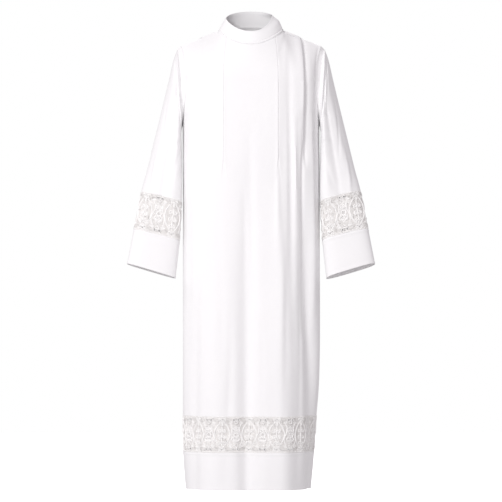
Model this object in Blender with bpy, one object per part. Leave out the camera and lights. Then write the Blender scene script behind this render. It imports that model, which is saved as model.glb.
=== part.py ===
"""Alb robe: a white ankle-length vestment, hollow and open, as it hangs on a wearer.

Units are metres, +Z is up, and the robe's front faces -Y. The origin lies between
the shoulders, level with the base of the neck, where the wearer carries the robe.
Every cloth piece is a thin wall: a grid of points on the right side of the cloth,
and the same grid moved in by the cloth's thickness.
"""
import math
from collections import namedtuple

import bmesh
import bpy
import numpy as np

# Cloth
CLOTH = 0.0010            # thickness of the single body cloth
BAND_CLOTH = 0.0016       # cuffs and hem band, turned up double
COLLAR_CLOTH = 0.0020     # interfaced stand-up collar
LACE_CLOTH = 0.0010
SEAM = 0.0003             # gap between two sewn pieces

# Heights
CHEST = -0.160            # where the front stops curving over from the shoulder
UNDERARM = -0.295
SIDE_MERGE = -0.345       # below this every row of the body is level
LACE_TOP = -1.1966
BAND_TOP = -1.3098
HEM = -1.4215

# Neck, seen from above and from the front
NECK_HALF_WIDTH = 0.1007
NECK_FRONT = 0.088
NECK_BACK = 0.062
NECK_SIDE_Z = 0.003
NECK_FRONT_Z = -0.0434
NECK_BACK_Z = 0.018
COLLAR_TOP_HALF_WIDTH = 0.0785
COLLAR_TOP_FRONT = 0.078
COLLAR_TOP_BACK = 0.056
COLLAR_TOP_SIDE_Z = 0.043
COLLAR_TOP_FRONT_Z = -0.002
COLLAR_TOP_BACK_Z = 0.0567
NECK_FRONT_BEND = 1.75    # how the neck seam dips in front, seen from the front
NECK_BACK_BEND = 1.2      # how the neck seam and the collar rise at the back
COLLAR_FRONT_DIP = 2.6    # how the collar's rim dips in front
COLLAR_LEAN = 1.2         # how the collar leans in from foot to rim

# Shoulder tip, where the armhole begins
TIP_X = 0.2186
TIP_Z = -0.041
ARMHOLE_DEPTH = 0.060     # the armhole reaches this far forward and back

# Body sections, one row a height, from the chest down to the hem
SECTION_COLUMNS = ("z", "half_width", "centre_x", "front", "back", "squareness")
SECTIONS = (
    (-0.160, 0.2135, 0.0000, 0.116, 0.106, 3.2),
    (-0.300, 0.2135, 0.0000, 0.124, 0.110, 3.0),
    (-0.550, 0.2135, 0.0010, 0.128, 0.116, 2.8),
    (-0.840, 0.2125, 0.0000, 0.134, 0.124, 2.7),
    (-1.094, 0.2109, -0.0015, 0.142, 0.134, 2.6),
    (-1.240, 0.2070, -0.0055, 0.147, 0.140, 2.5),
    (-1.318, 0.2044, -0.0075, 0.150, 0.143, 2.5),
    (-1.4215, 0.1961, -0.0085, 0.153, 0.146, 2.4),
)

# Long folds: place at the top and at the hem, half width, height out of the cloth
# at the hem, and the heights where the fold starts and is full. Minus is a valley.
Fold = namedtuple("Fold", "x_top x_hem width height start full")
FRONT_FOLDS = (
    Fold(-0.036, -0.034, 0.026, -0.017, -0.33, -1.20),
    Fold(-0.080, -0.118, 0.034, 0.011, -0.40, -1.30),
    Fold(0.045, 0.062, 0.034, 0.011, -0.36, -1.20),
    Fold(0.128, 0.136, 0.024, -0.015, -0.30, -1.25),
    Fold(0.170, 0.172, 0.018, 0.007, -0.30, -1.00),
    Fold(-0.168, -0.176, 0.016, -0.007, -0.36, -1.25),
)
BACK_FOLDS = (
    Fold(0.000, 0.004, 0.030, 0.012, -0.20, -1.20),
    Fold(0.052, 0.066, 0.026, -0.017, -0.16, -1.15),
    Fold(-0.048, -0.060, 0.028, -0.016, -0.18, -1.20),
    Fold(0.108, 0.122, 0.026, 0.012, -0.22, -1.10),
    Fold(-0.104, -0.118, 0.028, 0.011, -0.20, -1.20),
    Fold(0.156, 0.164, 0.018, -0.009, -0.30, -1.15),
    Fold(-0.158, -0.166, 0.018, -0.010, -0.30, -1.15),
)

# Knife pleats of the front, one each side and alike: edge at the shoulder and at
# the chest, depth of the underlay at the shoulder, and the height where it opens
Pleat = namedtuple("Pleat", "x_top x_chest depth release")
PLEATS = (
    Pleat(0.0747, 0.0845, 0.030, -0.375),
    Pleat(0.1540, 0.1640, 0.026, -0.315),
)
PLEAT_GAP = 0.0005        # air between the layers of a pleat
PLEAT_STEP = 2 * CLOTH + 2 * PLEAT_GAP
PLEAT_END_DEPTH = 0.008   # underlay just above where the pleat opens
PLEAT_OPEN_SPAN = 0.034   # width that the same cloth takes once open
PLEAT_OPENING = 0.045     # height over which a pleat lets go

# Rows of the body: shares of the way over the shoulder, then heights
YOKE_ROWS = (0.0, 0.04, 0.17, 0.34, 0.56, 0.78)
BODY_ROWS = (CHEST, -0.205, -0.255, -0.300, -0.335, -0.365, -0.400, -0.460,
             -0.560, -0.700, -0.860, -1.030, LACE_TOP)

# Sleeve rings from the armhole to the cuff's edge: the outer and the inner edge
# seen from the front, half the depth, how far forward the middle lies, squareness
RING_COLUMNS = ("outer_x", "outer_z", "inner_x", "inner_z", "depth", "forward", "squareness")
SLEEVE_RINGS = (
    (0.2310, -0.0560, 0.2158, -0.3030, 0.060, 0.000, 2.2),
    (0.2430, -0.0900, 0.2172, -0.3180, 0.060, 0.001, 2.3),
    (0.2590, -0.1600, 0.2180, -0.3480, 0.057, 0.003, 2.4),
    (0.2810, -0.2520, 0.2185, -0.3950, 0.052, 0.007, 2.5),
    (0.3030, -0.3430, 0.2190, -0.4420, 0.047, 0.013, 2.6),
    (0.3250, -0.4340, 0.2195, -0.4880, 0.043, 0.021, 2.7),
    (0.3426, -0.5015, 0.2210, -0.5320, 0.040, 0.029, 2.8),
    (0.3655, -0.6190, 0.2255, -0.6540, 0.035, 0.042, 3.0),
    (0.3860, -0.7250, 0.2345, -0.7700, 0.032, 0.054, 3.0),
)
RING_LACE_TOP = 6
RING_BAND_TOP = 7
RING_EDGE = 8
FORWARD_TILT = 0.21       # the back of a sleeve ring lies lower by this share

# Soft folds along a sleeve: place round the ring (0 outside, 0.25 front, 0.5 inside),
# half width as a share of the ring, height, first and last ring
SleeveFold = namedtuple("SleeveFold", "place width height first last")
SLEEVE_FOLDS = (
    SleeveFold(0.17, 0.035, 0.0040, 1.0, 7.0),
    SleeveFold(0.27, 0.030, -0.0045, 0.6, 7.0),
    SleeveFold(0.36, 0.030, 0.0040, 0.8, 6.5),
    SleeveFold(0.66, 0.035, 0.0040, 1.0, 6.5),
    SleeveFold(0.77, 0.030, -0.0045, 0.8, 7.0),
    SleeveFold(0.86, 0.030, 0.0035, 1.0, 7.0),
)

SLEEVE_FOLD_ENDS = 0.7    # below 1, a fold grows fast at its ends

# Lace: columns and rows of one repeat as shares of its width and height, and the
# cells of that grid that are cut through
LACE_REPEAT_COLUMNS = (0.0, 0.045, 0.115, 0.37, 0.63, 0.885, 0.955)
LACE_ROWS = (0.0, 0.065, 0.130, 0.460, 0.540, 0.870, 0.935, 1.0)
LACE_GAPS = ((1, 1), (1, 5), (5, 1), (5, 5), (3, 1), (3, 5))
HEM_REPEATS = 7           # on the front, and again on the back
SLEEVE_REPEATS = 2        # on each face of a sleeve

# Collar: shares of its height, and how far its front end stands back from the
# shoulder opening at each of them, which leaves the notch at its foot
COLLAR_ROWS = (0.0, 0.10, 0.30, 0.62, 1.0)
COLLAR_CUT_BACK = (0.0110, 0.0100, 0.0035, 0.0010, 0.0008)
COLLAR_STEPS = 20         # columns on the front, and again on the back

# Strip over the closed shoulder opening: thickness, air under it, and its rows as
# shares of the way down the first row of the yoke
STRIP_CLOTH = 0.0010
STRIP_LIFT = 0.0003
STRIP_ROWS = (0.06, 0.5, 0.97)

# How finely curves are measured and pieces divided
PROFILE_POINTS = 240
RING_POINTS = 721
STEP = 0.002              # small step along the cloth, for its direction
ROW_STEP = 0.01           # the same over the shoulder, as a share of the way
SHARP_EDGE = 50.0         # degrees
SIDE_CELLS = 4            # cells between the armhole and the side seam
INNER_PANEL_COLUMNS = 4   # columns of half the middle panel, between centre and pleat
PLEAT_COLUMNS = 8         # columns on the way round a pleat
CUFF_ROWS, CUFF_COLUMNS = 4, 28
BAND_ROWS, BAND_COLUMNS = 4, 43
LACE_EDGE = 0.0009        # half the gap at a sleeve's lace seam, as a share of the ring
SLEEVE_EVENING = 0.6      # how even the columns of a sleeve are at its lower end
RING_JOIN = 0.003         # gap between two stretches of a sleeve, in ring numbers
SLEEVE_STOPS = (0.0, 1.0, 2.0, 3.0, 4.0, 5.0, RING_LACE_TOP - RING_JOIN)


def table_column(table, names, name):
    """One column of a table as an array."""
    place = names.index(name)
    return np.array([row[place] for row in table])


def smooth(t):
    """Ease from 0 to 1 with level ends."""
    t = min(max(t, 0.0), 1.0)
    return t * t * (3.0 - 2.0 * t)


def curve_through(t, ts, values):
    """Cubic curve through the values, its slope at each the mean of both sides."""
    slopes = np.gradient(values, ts)
    t = min(max(t, ts[0]), ts[-1])
    k = int(np.clip(np.searchsorted(ts, t) - 1, 0, len(ts) - 2))
    span = ts[k + 1] - ts[k]
    w = (t - ts[k]) / span
    return ((1 + 2 * w) * (1 - w) ** 2 * values[k] + w * (1 - w) ** 2 * span * slopes[k]
            + w * w * (3 - 2 * w) * values[k + 1] + w * w * (w - 1) * span * slopes[k + 1])


def section_value(z, name):
    """A body section's measure at a height."""
    heights = -table_column(SECTIONS, SECTION_COLUMNS, "z")
    return curve_through(-z, heights, table_column(SECTIONS, SECTION_COLUMNS, name))


PROFILE_ANGLES = np.linspace(0.0, math.pi / 2, PROFILE_POINTS)
profile_cache = {}


def half_profile(z, side):
    """Half of a level section, from the centre line to the side seam.

    A superellipse: x and y are the powers 2/squareness of a sine and a cosine.
    Returns length along the curve, x and y (y counted outward).
    """
    key = (round(z, 6), side)
    if key not in profile_cache:
        power = 2.0 / section_value(z, "squareness")
        x = section_value(z, "half_width") * np.sin(PROFILE_ANGLES) ** power
        y = section_value(z, side) * np.cos(PROFILE_ANGLES) ** power
        y[-1] = 0.0
        length = np.concatenate(([0.0], np.cumsum(np.hypot(np.diff(x), np.diff(y)))))
        profile_cache[key] = (length, x, y)
    return profile_cache[key]


def pleat_edge_x(pleat, z):
    """Where a pleat's edge lies at a height below the shoulder."""
    x_top = PLEATS[pleat].x_top
    return x_top + (PLEATS[pleat].x_chest - x_top) * smooth(z / CHEST)


def neck_point(x, side):
    """The seam between body and collar, front or back, at a sideways place."""
    across = min(abs(x) / NECK_HALF_WIDTH, 1.0)
    rise = math.sqrt(1.0 - across * across)
    if side == "front":
        return np.array([x, -NECK_FRONT * rise,
                         NECK_SIDE_Z + (NECK_FRONT_Z - NECK_SIDE_Z) * rise ** NECK_FRONT_BEND])
    return np.array([x, NECK_BACK * rise,
                     NECK_SIDE_Z + (NECK_BACK_Z - NECK_SIDE_Z) * rise ** NECK_BACK_BEND])


def top_edge(x, side):
    """Upper edge of the body: neck seam in the middle, shoulder seams outside it."""
    if abs(x) < NECK_HALF_WIDTH:
        return neck_point(x, side)
    along = (abs(x) - NECK_HALF_WIDTH) / (TIP_X - NECK_HALF_WIDTH)
    outward = -SEAM / 2 if side == "front" else SEAM / 2
    return np.array([x, outward, NECK_SIDE_Z + (TIP_Z - NECK_SIDE_Z) * along])


# Places across half of a body panel are numbered: 0 centre line, 1 edge of the inner
# pleat, 2 neck corner, 3 edge of the outer pleat, 4 armhole edge, 5 side seam
PLACE_CENTRE, PLACE_INNER, PLACE_NECK, PLACE_OUTER, PLACE_ARMHOLE, PLACE_SIDE = range(6)
PLACES_AT_TOP = (0.0, PLEATS[0].x_top, NECK_HALF_WIDTH, PLEATS[1].x_top, TIP_X)
NECK_CORNER_AT_CHEST = 0.1100


def arc_at(place, z, side):
    """Length along the half profile at a numbered place."""
    length, x, y = half_profile(z, side)
    if place >= PLACE_ARMHOLE:
        turn = (place - PLACE_ARMHOLE) * math.pi / 2
        return float(np.interp(-ARMHOLE_DEPTH * math.cos(turn), -y, length))
    armhole = np.interp(-ARMHOLE_DEPTH, -y, length)
    marks = (0.0,
             np.interp(pleat_edge_x(0, min(z, CHEST)), x, length),
             np.interp(NECK_CORNER_AT_CHEST, x, length),
             np.interp(pleat_edge_x(1, min(z, CHEST)), x, length),
             armhole)
    return float(np.interp(place, range(5), marks))


def level_point(arc, z, side, sign):
    """Point of the plain body section at a length along its half profile."""
    length, x, y = half_profile(z, side)
    depth = float(np.interp(arc, length, y))
    across = float(np.interp(arc, length, x))
    return np.array([section_value(z, "centre_x") + sign * across,
                     -depth if side == "front" else depth, z])


def row_height(place, z):
    """Height of a body row at a place: rows bend down under the armhole."""
    if place <= PLACE_ARMHOLE or z <= SIDE_MERGE:
        return z
    turn = (place - PLACE_ARMHOLE) * math.pi / 2
    edge = CHEST + (UNDERARM - CHEST) * math.sin(turn)
    return edge + (z - CHEST) * (SIDE_MERGE - edge) / (SIDE_MERGE - CHEST)


def body_base(place, shift, row, side, sign):
    """Point of the body without pleats or folds.

    Rows from 0 to 1 go over the shoulder, a parabola from the top edge to the chest.
    A row below 0 is a height. Shift moves the point along the section, in metres.
    """
    if row < 0.0:
        z = row_height(place, row)
        return level_point(arc_at(place, z, side) + shift, z, side, sign)
    arc = arc_at(min(place, PLACE_ARMHOLE), CHEST, side) + shift
    low = level_point(arc, CHEST, side, sign)
    arcs_of_places = [arc_at(k, CHEST, side) for k in range(5)]
    high = top_edge(sign * float(np.interp(arc, arcs_of_places, PLACES_AT_TOP)), side)
    over = 1.0 - (1.0 - row) ** 2
    return np.array([high[0] + (low[0] - high[0]) * over,
                     high[1] + (low[1] - high[1]) * over,
                     high[2] + (low[2] - high[2]) * row])


def shoulder_normal(x):
    """Direction square to the shoulder seam, shared by front and back."""
    slope = math.atan2(NECK_SIDE_Z - TIP_Z, TIP_X - NECK_HALF_WIDTH)
    return np.array([math.copysign(math.sin(slope), x), 0.0, math.cos(slope)])


def body_normal(place, shift, row, side, sign):
    """Outward direction of the plain body, from two small steps on it."""
    along = (body_base(place, shift + STEP, row, side, sign)
             - body_base(place, shift - STEP, row, side, sign))
    if row < 0.0:
        down = (body_base(place, shift, row - STEP, side, sign)
                - body_base(place, shift, min(row + STEP, CHEST), side, sign))
    else:
        down = (body_base(place, shift, min(row + ROW_STEP, 1.0), side, sign)
                - body_base(place, shift, max(row - ROW_STEP, 0.0), side, sign))
    normal = np.cross(down, along) * (sign if side == "front" else -sign)
    if row < 0.0:
        normal[2] = 0.0
    return normal / np.linalg.norm(normal)


def fold_height(x, z, folds):
    """Sum of the long folds at a place: round ridges that grow towards the hem."""
    total = 0.0
    for fold in folds:
        grown = smooth((z - fold.start) / (fold.full - fold.start))
        slant = smooth((z - fold.start) / (HEM - fold.start))
        middle = fold.x_top + (fold.x_hem - fold.x_top) * slant
        total += fold.height * grown * math.exp(-((x - middle) / fold.width) ** 2)
    return total


def body_point(place, shift, lift, row, side, sign):
    """Point on the right side of the body cloth, lifted off the plain form."""
    base = body_base(place, shift, row, side, sign)
    folds = FRONT_FOLDS if side == "front" else BACK_FOLDS
    lift += fold_height(base[0], base[2], folds)
    if row == 0.0 and abs(base[0]) >= NECK_HALF_WIDTH:
        return base + lift * shoulder_normal(base[0])
    return base + lift * body_normal(place, shift, row, side, sign)


def pleat_openness(pleat, row):
    """0 where a pleat is folded flat, 1 where it has opened."""
    if row >= 0.0:
        return 0.0
    return smooth((PLEATS[pleat].release - row) / PLEAT_OPENING)


def pleat_stations(pleat, row):
    """The cloth's way round a knife pleat, as (shift along the body, lift).

    Out to the edge on top, back under it by the underlay, and out again below.
    Once open, the same points lie in one gentle slope.
    """
    full_depth = PLEATS[pleat].depth
    fall = 0.0 if row >= 0.0 else smooth((row - CHEST) / (PLEATS[pleat].release - CHEST))
    depth = full_depth + (PLEAT_END_DEPTH - full_depth) * fall
    upper = PLEAT_STEP if pleat == 0 else 0.0
    turn = CLOTH + PLEAT_GAP / 2
    inner_turn = PLEAT_GAP / 2
    folded = [(turn * math.cos(a) - turn, upper - turn + turn * math.sin(a))
              for a in np.radians((90, 45, 0, -45, -90))]
    folded += [(-depth + inner_turn * math.cos(a), upper - 2 * turn - inner_turn
                + inner_turn * math.sin(a)) for a in np.radians((90, 180, 270))]
    openness = pleat_openness(pleat, row)
    shares = np.linspace(-0.5, 0.5, len(folded))
    return [(shift + (share * PLEAT_OPEN_SPAN - shift) * openness, lift * (1.0 - openness))
            for (shift, lift), share in zip(folded, shares)]


def panel_lift(pleats_passed, row):
    """Height of a flat stretch between pleats: the middle of the front lies on top."""
    if pleats_passed == 0:
        return PLEAT_STEP * (1.0 - pleat_openness(0, row))
    if pleats_passed == 1:
        return 0.0
    return -PLEAT_STEP * (1.0 - pleat_openness(1, row))


def front_half_row(row, sign):
    """Points of half a front row, from beside the centre line out to the side seam."""
    steps = INNER_PANEL_COLUMNS + 1
    stations = [(PLACE_INNER * k / steps, 0.0, panel_lift(0, row)) for k in range(1, steps)]
    stations += [(PLACE_INNER, shift, lift) for shift, lift in pleat_stations(0, row)]
    stations += [(PLACE_NECK + k / 3, 0.0, panel_lift(1, row)) for k in range(3)]
    stations += [(PLACE_OUTER, shift, lift) for shift, lift in pleat_stations(1, row)]
    stations += [(PLACE_OUTER + k / 3, 0.0, panel_lift(2, row)) for k in (1, 2, 3)]
    stations += [(PLACE_ARMHOLE + k / SIDE_CELLS, 0.0,
                  panel_lift(2, row) * (1.0 - k / SIDE_CELLS)) for k in range(1, SIDE_CELLS + 1)]
    return [body_point(place, shift, lift, row, "front", sign)
            for place, shift, lift in stations]


def back_half_row(row, sign):
    """Points of half a back row, from beside the centre line out to the side seam."""
    places = [PLACE_NECK * k / 6 for k in range(1, 7)]
    places += [PLACE_NECK + 0.5, PLACE_OUTER - 0.1, PLACE_OUTER + 0.2,
               PLACE_OUTER + 0.6, PLACE_ARMHOLE]
    places += [PLACE_ARMHOLE + k / SIDE_CELLS for k in range(1, SIDE_CELLS + 1)]
    points = []
    for place in places:
        step_down = -PLEAT_STEP * smooth((place - PLACE_OUTER + 0.1) / 0.3)
        if place > PLACE_ARMHOLE:
            step_down *= PLACE_SIDE - place
        fade = 1.0 if row >= 0.0 else 1.0 - smooth((row - CHEST) / (UNDERARM - CHEST))
        points.append(body_point(place, 0.0, step_down * fade, row, "back", sign))
    return points


def body_grid(side):
    """Grid of a body panel, which of its cells are cloth, and its armhole column."""
    rows = list(YOKE_ROWS) + list(BODY_ROWS)
    half_row = front_half_row if side == "front" else back_half_row
    grid = []
    for row in rows:
        middle_lift = panel_lift(0, row) if side == "front" else 0.0
        middle = body_point(PLACE_CENTRE, 0.0, middle_lift, row, side, 1)
        grid.append(half_row(row, -1)[::-1] + [middle] + half_row(row, 1))
    grid = np.array(grid)
    grid[:, 0, 1] += -SEAM / 2 if side == "front" else SEAM / 2
    grid[:, -1, 1] += -SEAM / 2 if side == "front" else SEAM / 2
    present = np.ones((len(rows) - 1, grid.shape[1] - 1), bool)
    yoke = len(YOKE_ROWS)
    present[:yoke, :SIDE_CELLS] = False
    present[:yoke, -SIDE_CELLS:] = False
    return grid, present


def grid_normals(grid, present, wrap=False):
    """Unit direction out of the cloth at each point: the mean of its cells' ones."""
    following = np.roll(grid, -1, axis=1) if wrap else grid[:, 1:]
    here = grid if wrap else grid[:, :-1]
    first = following[1:] - here[:-1]
    second = here[1:] - following[:-1]
    cells = np.cross(first, second)
    cells /= np.maximum(np.linalg.norm(cells, axis=2, keepdims=True), 1e-12)
    cells *= present[:, :, None]
    normals = np.zeros_like(grid)
    normals[:-1, :cells.shape[1]] += cells
    normals[1:, :cells.shape[1]] += cells
    if wrap:
        normals[:-1] += np.roll(cells, 1, axis=1)
        normals[1:] += np.roll(cells, 1, axis=1)
    else:
        normals[:-1, 1:] += cells
        normals[1:, 1:] += cells
    return normals / np.maximum(np.linalg.norm(normals, axis=2, keepdims=True), 1e-12)


def material(name, colour, roughness):
    """Cloth finish of one kind of piece."""
    finish = bpy.data.materials.new(name)
    finish.use_nodes = True
    shader = finish.node_tree.nodes["Principled BSDF"]
    shader.inputs["Base Color"].default_value = (*colour, 1.0)
    shader.inputs["Roughness"].default_value = roughness
    shader.inputs["Metallic"].default_value = 0.0
    return finish


def cloth_wall(name, outer, inner, finish, present=None, wrap=False):
    """Closed wall between two grids; cells that are not present stay open."""
    rows, columns = outer.shape[:2]
    if present is None:
        present = np.ones((rows - 1, columns if wrap else columns - 1), bool)
    mesh = bmesh.new()
    faces_of = {}

    def vertex(layer, j, i):
        key = (layer, j, i % columns)
        if key not in faces_of:
            source = outer if layer == 0 else inner
            faces_of[key] = mesh.verts.new(source[j, i % columns])
        return faces_of[key]

    def cloth(j, i):
        if wrap:
            i %= columns
        return 0 <= j < present.shape[0] and 0 <= i < present.shape[1] and present[j, i]

    def rim(a, b):
        mesh.faces.new((vertex(0, *a), vertex(0, *b), vertex(1, *b)))
        mesh.faces.new((vertex(0, *a), vertex(1, *b), vertex(1, *a)))

    for j, i in np.argwhere(present):
        corners = ((j, i), (j, i + 1), (j + 1, i + 1), (j + 1, i))
        for a, b, c in ((0, 1, 2), (0, 2, 3)):
            mesh.faces.new([vertex(0, *corners[k]) for k in (a, b, c)])
            mesh.faces.new([vertex(1, *corners[k]) for k in (c, b, a)])
        if not cloth(j - 1, i):
            rim(corners[1], corners[0])
        if not cloth(j + 1, i):
            rim(corners[3], corners[2])
        if not cloth(j, i - 1):
            rim(corners[0], corners[3])
        if not cloth(j, i + 1):
            rim(corners[2], corners[1])
    bmesh.ops.recalc_face_normals(mesh, faces=mesh.faces)
    data = bpy.data.meshes.new(name)
    mesh.to_mesh(data)
    mesh.free()
    data.shade_smooth()
    data.set_sharp_from_angle(angle=math.radians(SHARP_EDGE))
    data.materials.append(finish)
    piece = bpy.data.objects.new(name, data)
    bpy.context.scene.collection.objects.link(piece)
    return piece


def outward(normals, grid, centre):
    """The same normals, turned so that they point away from a centre on average."""
    away = np.sum(normals * (grid - centre), axis=2)
    return normals if away.mean() > 0 else -normals


def level_edges(normals, rows):
    """The same normals, made level on rows where pieces meet at one height."""
    normals = normals.copy()
    for j in rows:
        normals[j, :, 2] = 0.0
        normals[j] /= np.linalg.norm(normals[j], axis=1, keepdims=True)
    return normals


def body_panel(side, finish):
    """Front or back of the robe, with shoulder seams, neck, armholes and side seams."""
    grid, present = body_grid(side)
    normals = outward(grid_normals(grid, present), grid, np.array([0.0, 0.0, -0.7]))
    for i in range(grid.shape[1]):
        if abs(grid[0, i, 0]) > NECK_HALF_WIDTH - 0.001:
            normals[0, i] = shoulder_normal(grid[0, i, 0])
    normals = level_edges(normals, (-1,))
    cloth_wall(side + "_body", grid, grid - CLOTH * normals, finish, present)
    return grid, normals


def armhole_edge(grid, sign):
    """Column of armhole points of a panel, from the shoulder tip to the side seam."""
    yoke = len(YOKE_ROWS)
    down = [(j, SIDE_CELLS) for j in range(yoke + 1)]
    down += [(yoke, i) for i in range(SIDE_CELLS - 1, -1, -1)]
    if sign > 0:
        down = [(j, grid.shape[1] - 1 - i) for j, i in down]
    return down


def seam_ring(panels, sign):
    """First ring of a sleeve and the way its cloth leaves the body there.

    The ring is both armhole edges, moved out of them by the seam.
    """
    yoke = len(YOKE_ROWS)
    halves = []
    for grid, normals in panels:
        ring = []
        for j, i in armhole_edge(grid, sign):
            sideways = grid[j, i] - grid[j, i + 1 if sign < 0 else i - 1]
            upward = grid[j, i] - grid[j + 1, i]
            leave = sideways / np.linalg.norm(sideways)
            clear = 0.0
            if j == yoke:
                corner = len(ring) == yoke
                leave = upward / np.linalg.norm(upward) + (leave if corner else 0.0)
                clear = (3 if corner else 2) * SEAM
            point = grid[j, i] + SEAM * leave + clear * normals[j, i]
            ring.append((point, leave / np.linalg.norm(leave)))
        halves.append(ring)
    front, back = halves
    ring = front + back[-2:0:-1]
    return np.array([point for point, leave in ring]), np.array([leave for point, leave in ring])


def ring_value(t, name):
    """A sleeve measure at ring number t."""
    numbers = np.arange(len(SLEEVE_RINGS), dtype=float)
    return curve_through(t, numbers, table_column(SLEEVE_RINGS, RING_COLUMNS, name))


def sleeve_fold_height(place, t):
    """Soft folds along the sleeve at a place round it."""
    total = 0.0
    for fold in SLEEVE_FOLDS:
        along = (t - fold.first) / (fold.last - fold.first)
        if 0.0 < along < 1.0:
            away = (place - fold.place + 0.5) % 1.0 - 0.5
            grown = math.sin(math.pi * along) ** SLEEVE_FOLD_ENDS
            total += fold.height * grown * math.exp(-(away / fold.width) ** 2)
    return total


def sleeve_ring(t, places, sign):
    """Ring of a sleeve at ring number t; places go round it, 0 outside, 0.25 front."""
    outer = np.array([ring_value(t, "outer_x"), 0.0, ring_value(t, "outer_z")])
    inner = np.array([ring_value(t, "inner_x"), 0.0, ring_value(t, "inner_z")])
    middle = (outer + inner) / 2
    middle[1] = -ring_value(t, "forward")
    half = (outer - inner) / 2
    tilt = FORWARD_TILT * smooth(t / RING_LACE_TOP)
    depth = ring_value(t, "depth") * np.array([0.0, -1.0, tilt])
    power = 2.0 / ring_value(t, "squareness")
    angles = np.linspace(0.0, 2 * math.pi, RING_POINTS)
    c, s = np.cos(angles), np.sin(angles)
    way = (middle + (np.sign(c) * np.abs(c) ** power)[:, None] * half
           + (np.sign(s) * np.abs(s) ** power)[:, None] * depth)
    lengths = np.concatenate(([0.0], np.cumsum(np.linalg.norm(np.diff(way, axis=0), axis=1))))
    ring = np.empty((len(places), 3))
    for k, place in enumerate(places):
        at = place % 1.0 * lengths[-1]
        point = np.array([np.interp(at, lengths, way[:, axis]) for axis in range(3)])
        away = point - middle
        ring[k] = point + sleeve_fold_height(place, t) * away / np.linalg.norm(away)
    ring[:, 0] *= sign
    return ring


def sleeve(name, sign, panels, finish):
    """Upper part of a sleeve, from the armhole seam to the lace."""
    start, leaving = seam_ring(panels, sign)
    closed = np.vstack((start, start[:1]))
    steps = np.linalg.norm(np.diff(closed, axis=0), axis=1)
    places = np.concatenate(([0.0], np.cumsum(steps)[:-1])) / steps.sum()
    even = np.linspace(0.0, 1.0, len(places), endpoint=False)
    rings = [start]
    for t in SLEEVE_STOPS:
        mix = SLEEVE_EVENING * smooth(t / RING_LACE_TOP)
        rings.append(sleeve_ring(t, places * (1 - mix) + even * mix, sign))
    grid = np.array(rings)
    present = np.ones((len(rings) - 1, grid.shape[1]), bool)
    normals = grid_normals(grid, present, wrap=True)
    middle = grid.mean(axis=1, keepdims=True)
    normals = outward(normals, grid, middle)
    ahead = np.maximum(np.sum(normals[0] * leaving, axis=1, keepdims=True), 0.0)
    normals[0] -= ahead * leaving
    normals[0] /= np.linalg.norm(normals[0], axis=1, keepdims=True)
    cloth_wall(name, grid, grid - CLOTH * normals, finish, wrap=True)


def cuff(name, sign, finish):
    """Plain turned-up end of a sleeve."""
    places = np.linspace(0.0, 1.0, CUFF_COLUMNS, endpoint=False)
    stops = np.linspace(RING_BAND_TOP, RING_EDGE, CUFF_ROWS)
    grid = np.array([sleeve_ring(t, places, sign) for t in stops])
    present = np.ones((CUFF_ROWS - 1, CUFF_COLUMNS), bool)
    normals = grid_normals(grid, present, wrap=True)
    normals = outward(normals, grid, grid.mean(axis=1, keepdims=True))
    cloth_wall(name, grid, grid - BAND_CLOTH * normals, finish, wrap=True)


def lace_cells(repeats):
    """Columns of a lace band as shares of its width, and its cells without the gaps."""
    shares = [(k + share) / repeats for k in range(repeats) for share in LACE_REPEAT_COLUMNS]
    shares = np.array(shares + [1.0])
    present = np.ones((len(LACE_ROWS) - 1, len(shares) - 1), bool)
    for k in range(repeats):
        for column, row in LACE_GAPS:
            present[row, k * len(LACE_REPEAT_COLUMNS) + column] = False
    return shares, present


def sleeve_lace(name, sign, face, finish):
    """Lace of one face of a sleeve, front or back, with its larger gaps cut through."""
    shares, present = lace_cells(SLEEVE_REPEATS)
    around = (LACE_EDGE + shares * (0.5 - 2 * LACE_EDGE)) + (0.0 if face == "front" else 0.5)
    stops = RING_LACE_TOP + np.array(LACE_ROWS) * (1.0 - RING_JOIN)
    grid = np.array([sleeve_ring(t, around, sign) for t in stops])
    normals = grid_normals(grid, np.ones_like(present))
    whole = sleeve_ring(RING_LACE_TOP + 0.5, np.linspace(0.0, 1.0, CUFF_COLUMNS), sign)
    normals = outward(normals, grid, whole.mean(axis=0))
    cloth_wall(name, grid, grid - LACE_CLOTH * normals, finish, present)


def level_band(side, shares, z):
    """Points of the body's cloth at one height, shares from one side seam to the other."""
    reach = half_profile(z, side)[0][-1]
    sign_y = -1 if side == "front" else 1
    points = []
    for share in shares:
        arc = (2 * share - 1) * reach
        sign = -1 if arc < 0 else 1
        base = level_point(abs(arc), z, side, sign)
        ahead = level_point(min(abs(arc) + STEP, reach), z, side, sign)
        behind = level_point(max(abs(arc) - STEP, 0.0), z, side, sign)
        along = (ahead - behind) * sign
        normal = np.array([-along[1], along[0], 0.0]) * sign_y
        if abs(arc) < STEP:
            normal = np.array([0.0, sign_y, 0.0])
        normal /= np.linalg.norm(normal)
        folds = FRONT_FOLDS if side == "front" else BACK_FOLDS
        points.append(base + fold_height(base[0], z, folds) * normal)
    points = np.array(points)
    points[0, 1] += sign_y * SEAM / 2
    points[-1, 1] += sign_y * SEAM / 2
    return points


def hem_lace(name, side, finish):
    """Lace of the hem, front or back, with its larger gaps cut through."""
    shares, present = lace_cells(HEM_REPEATS)
    top = LACE_TOP - SEAM
    heights = top + np.array(LACE_ROWS) * (BAND_TOP + SEAM - top)
    grid = np.array([level_band(side, shares, z) for z in heights])
    normals = grid_normals(grid, np.ones_like(present))
    normals = level_edges(outward(normals, grid, np.array([0.0, 0.0, BAND_TOP])), (0, -1))
    cloth_wall(name, grid, grid - LACE_CLOTH * normals, finish, present)


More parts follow.
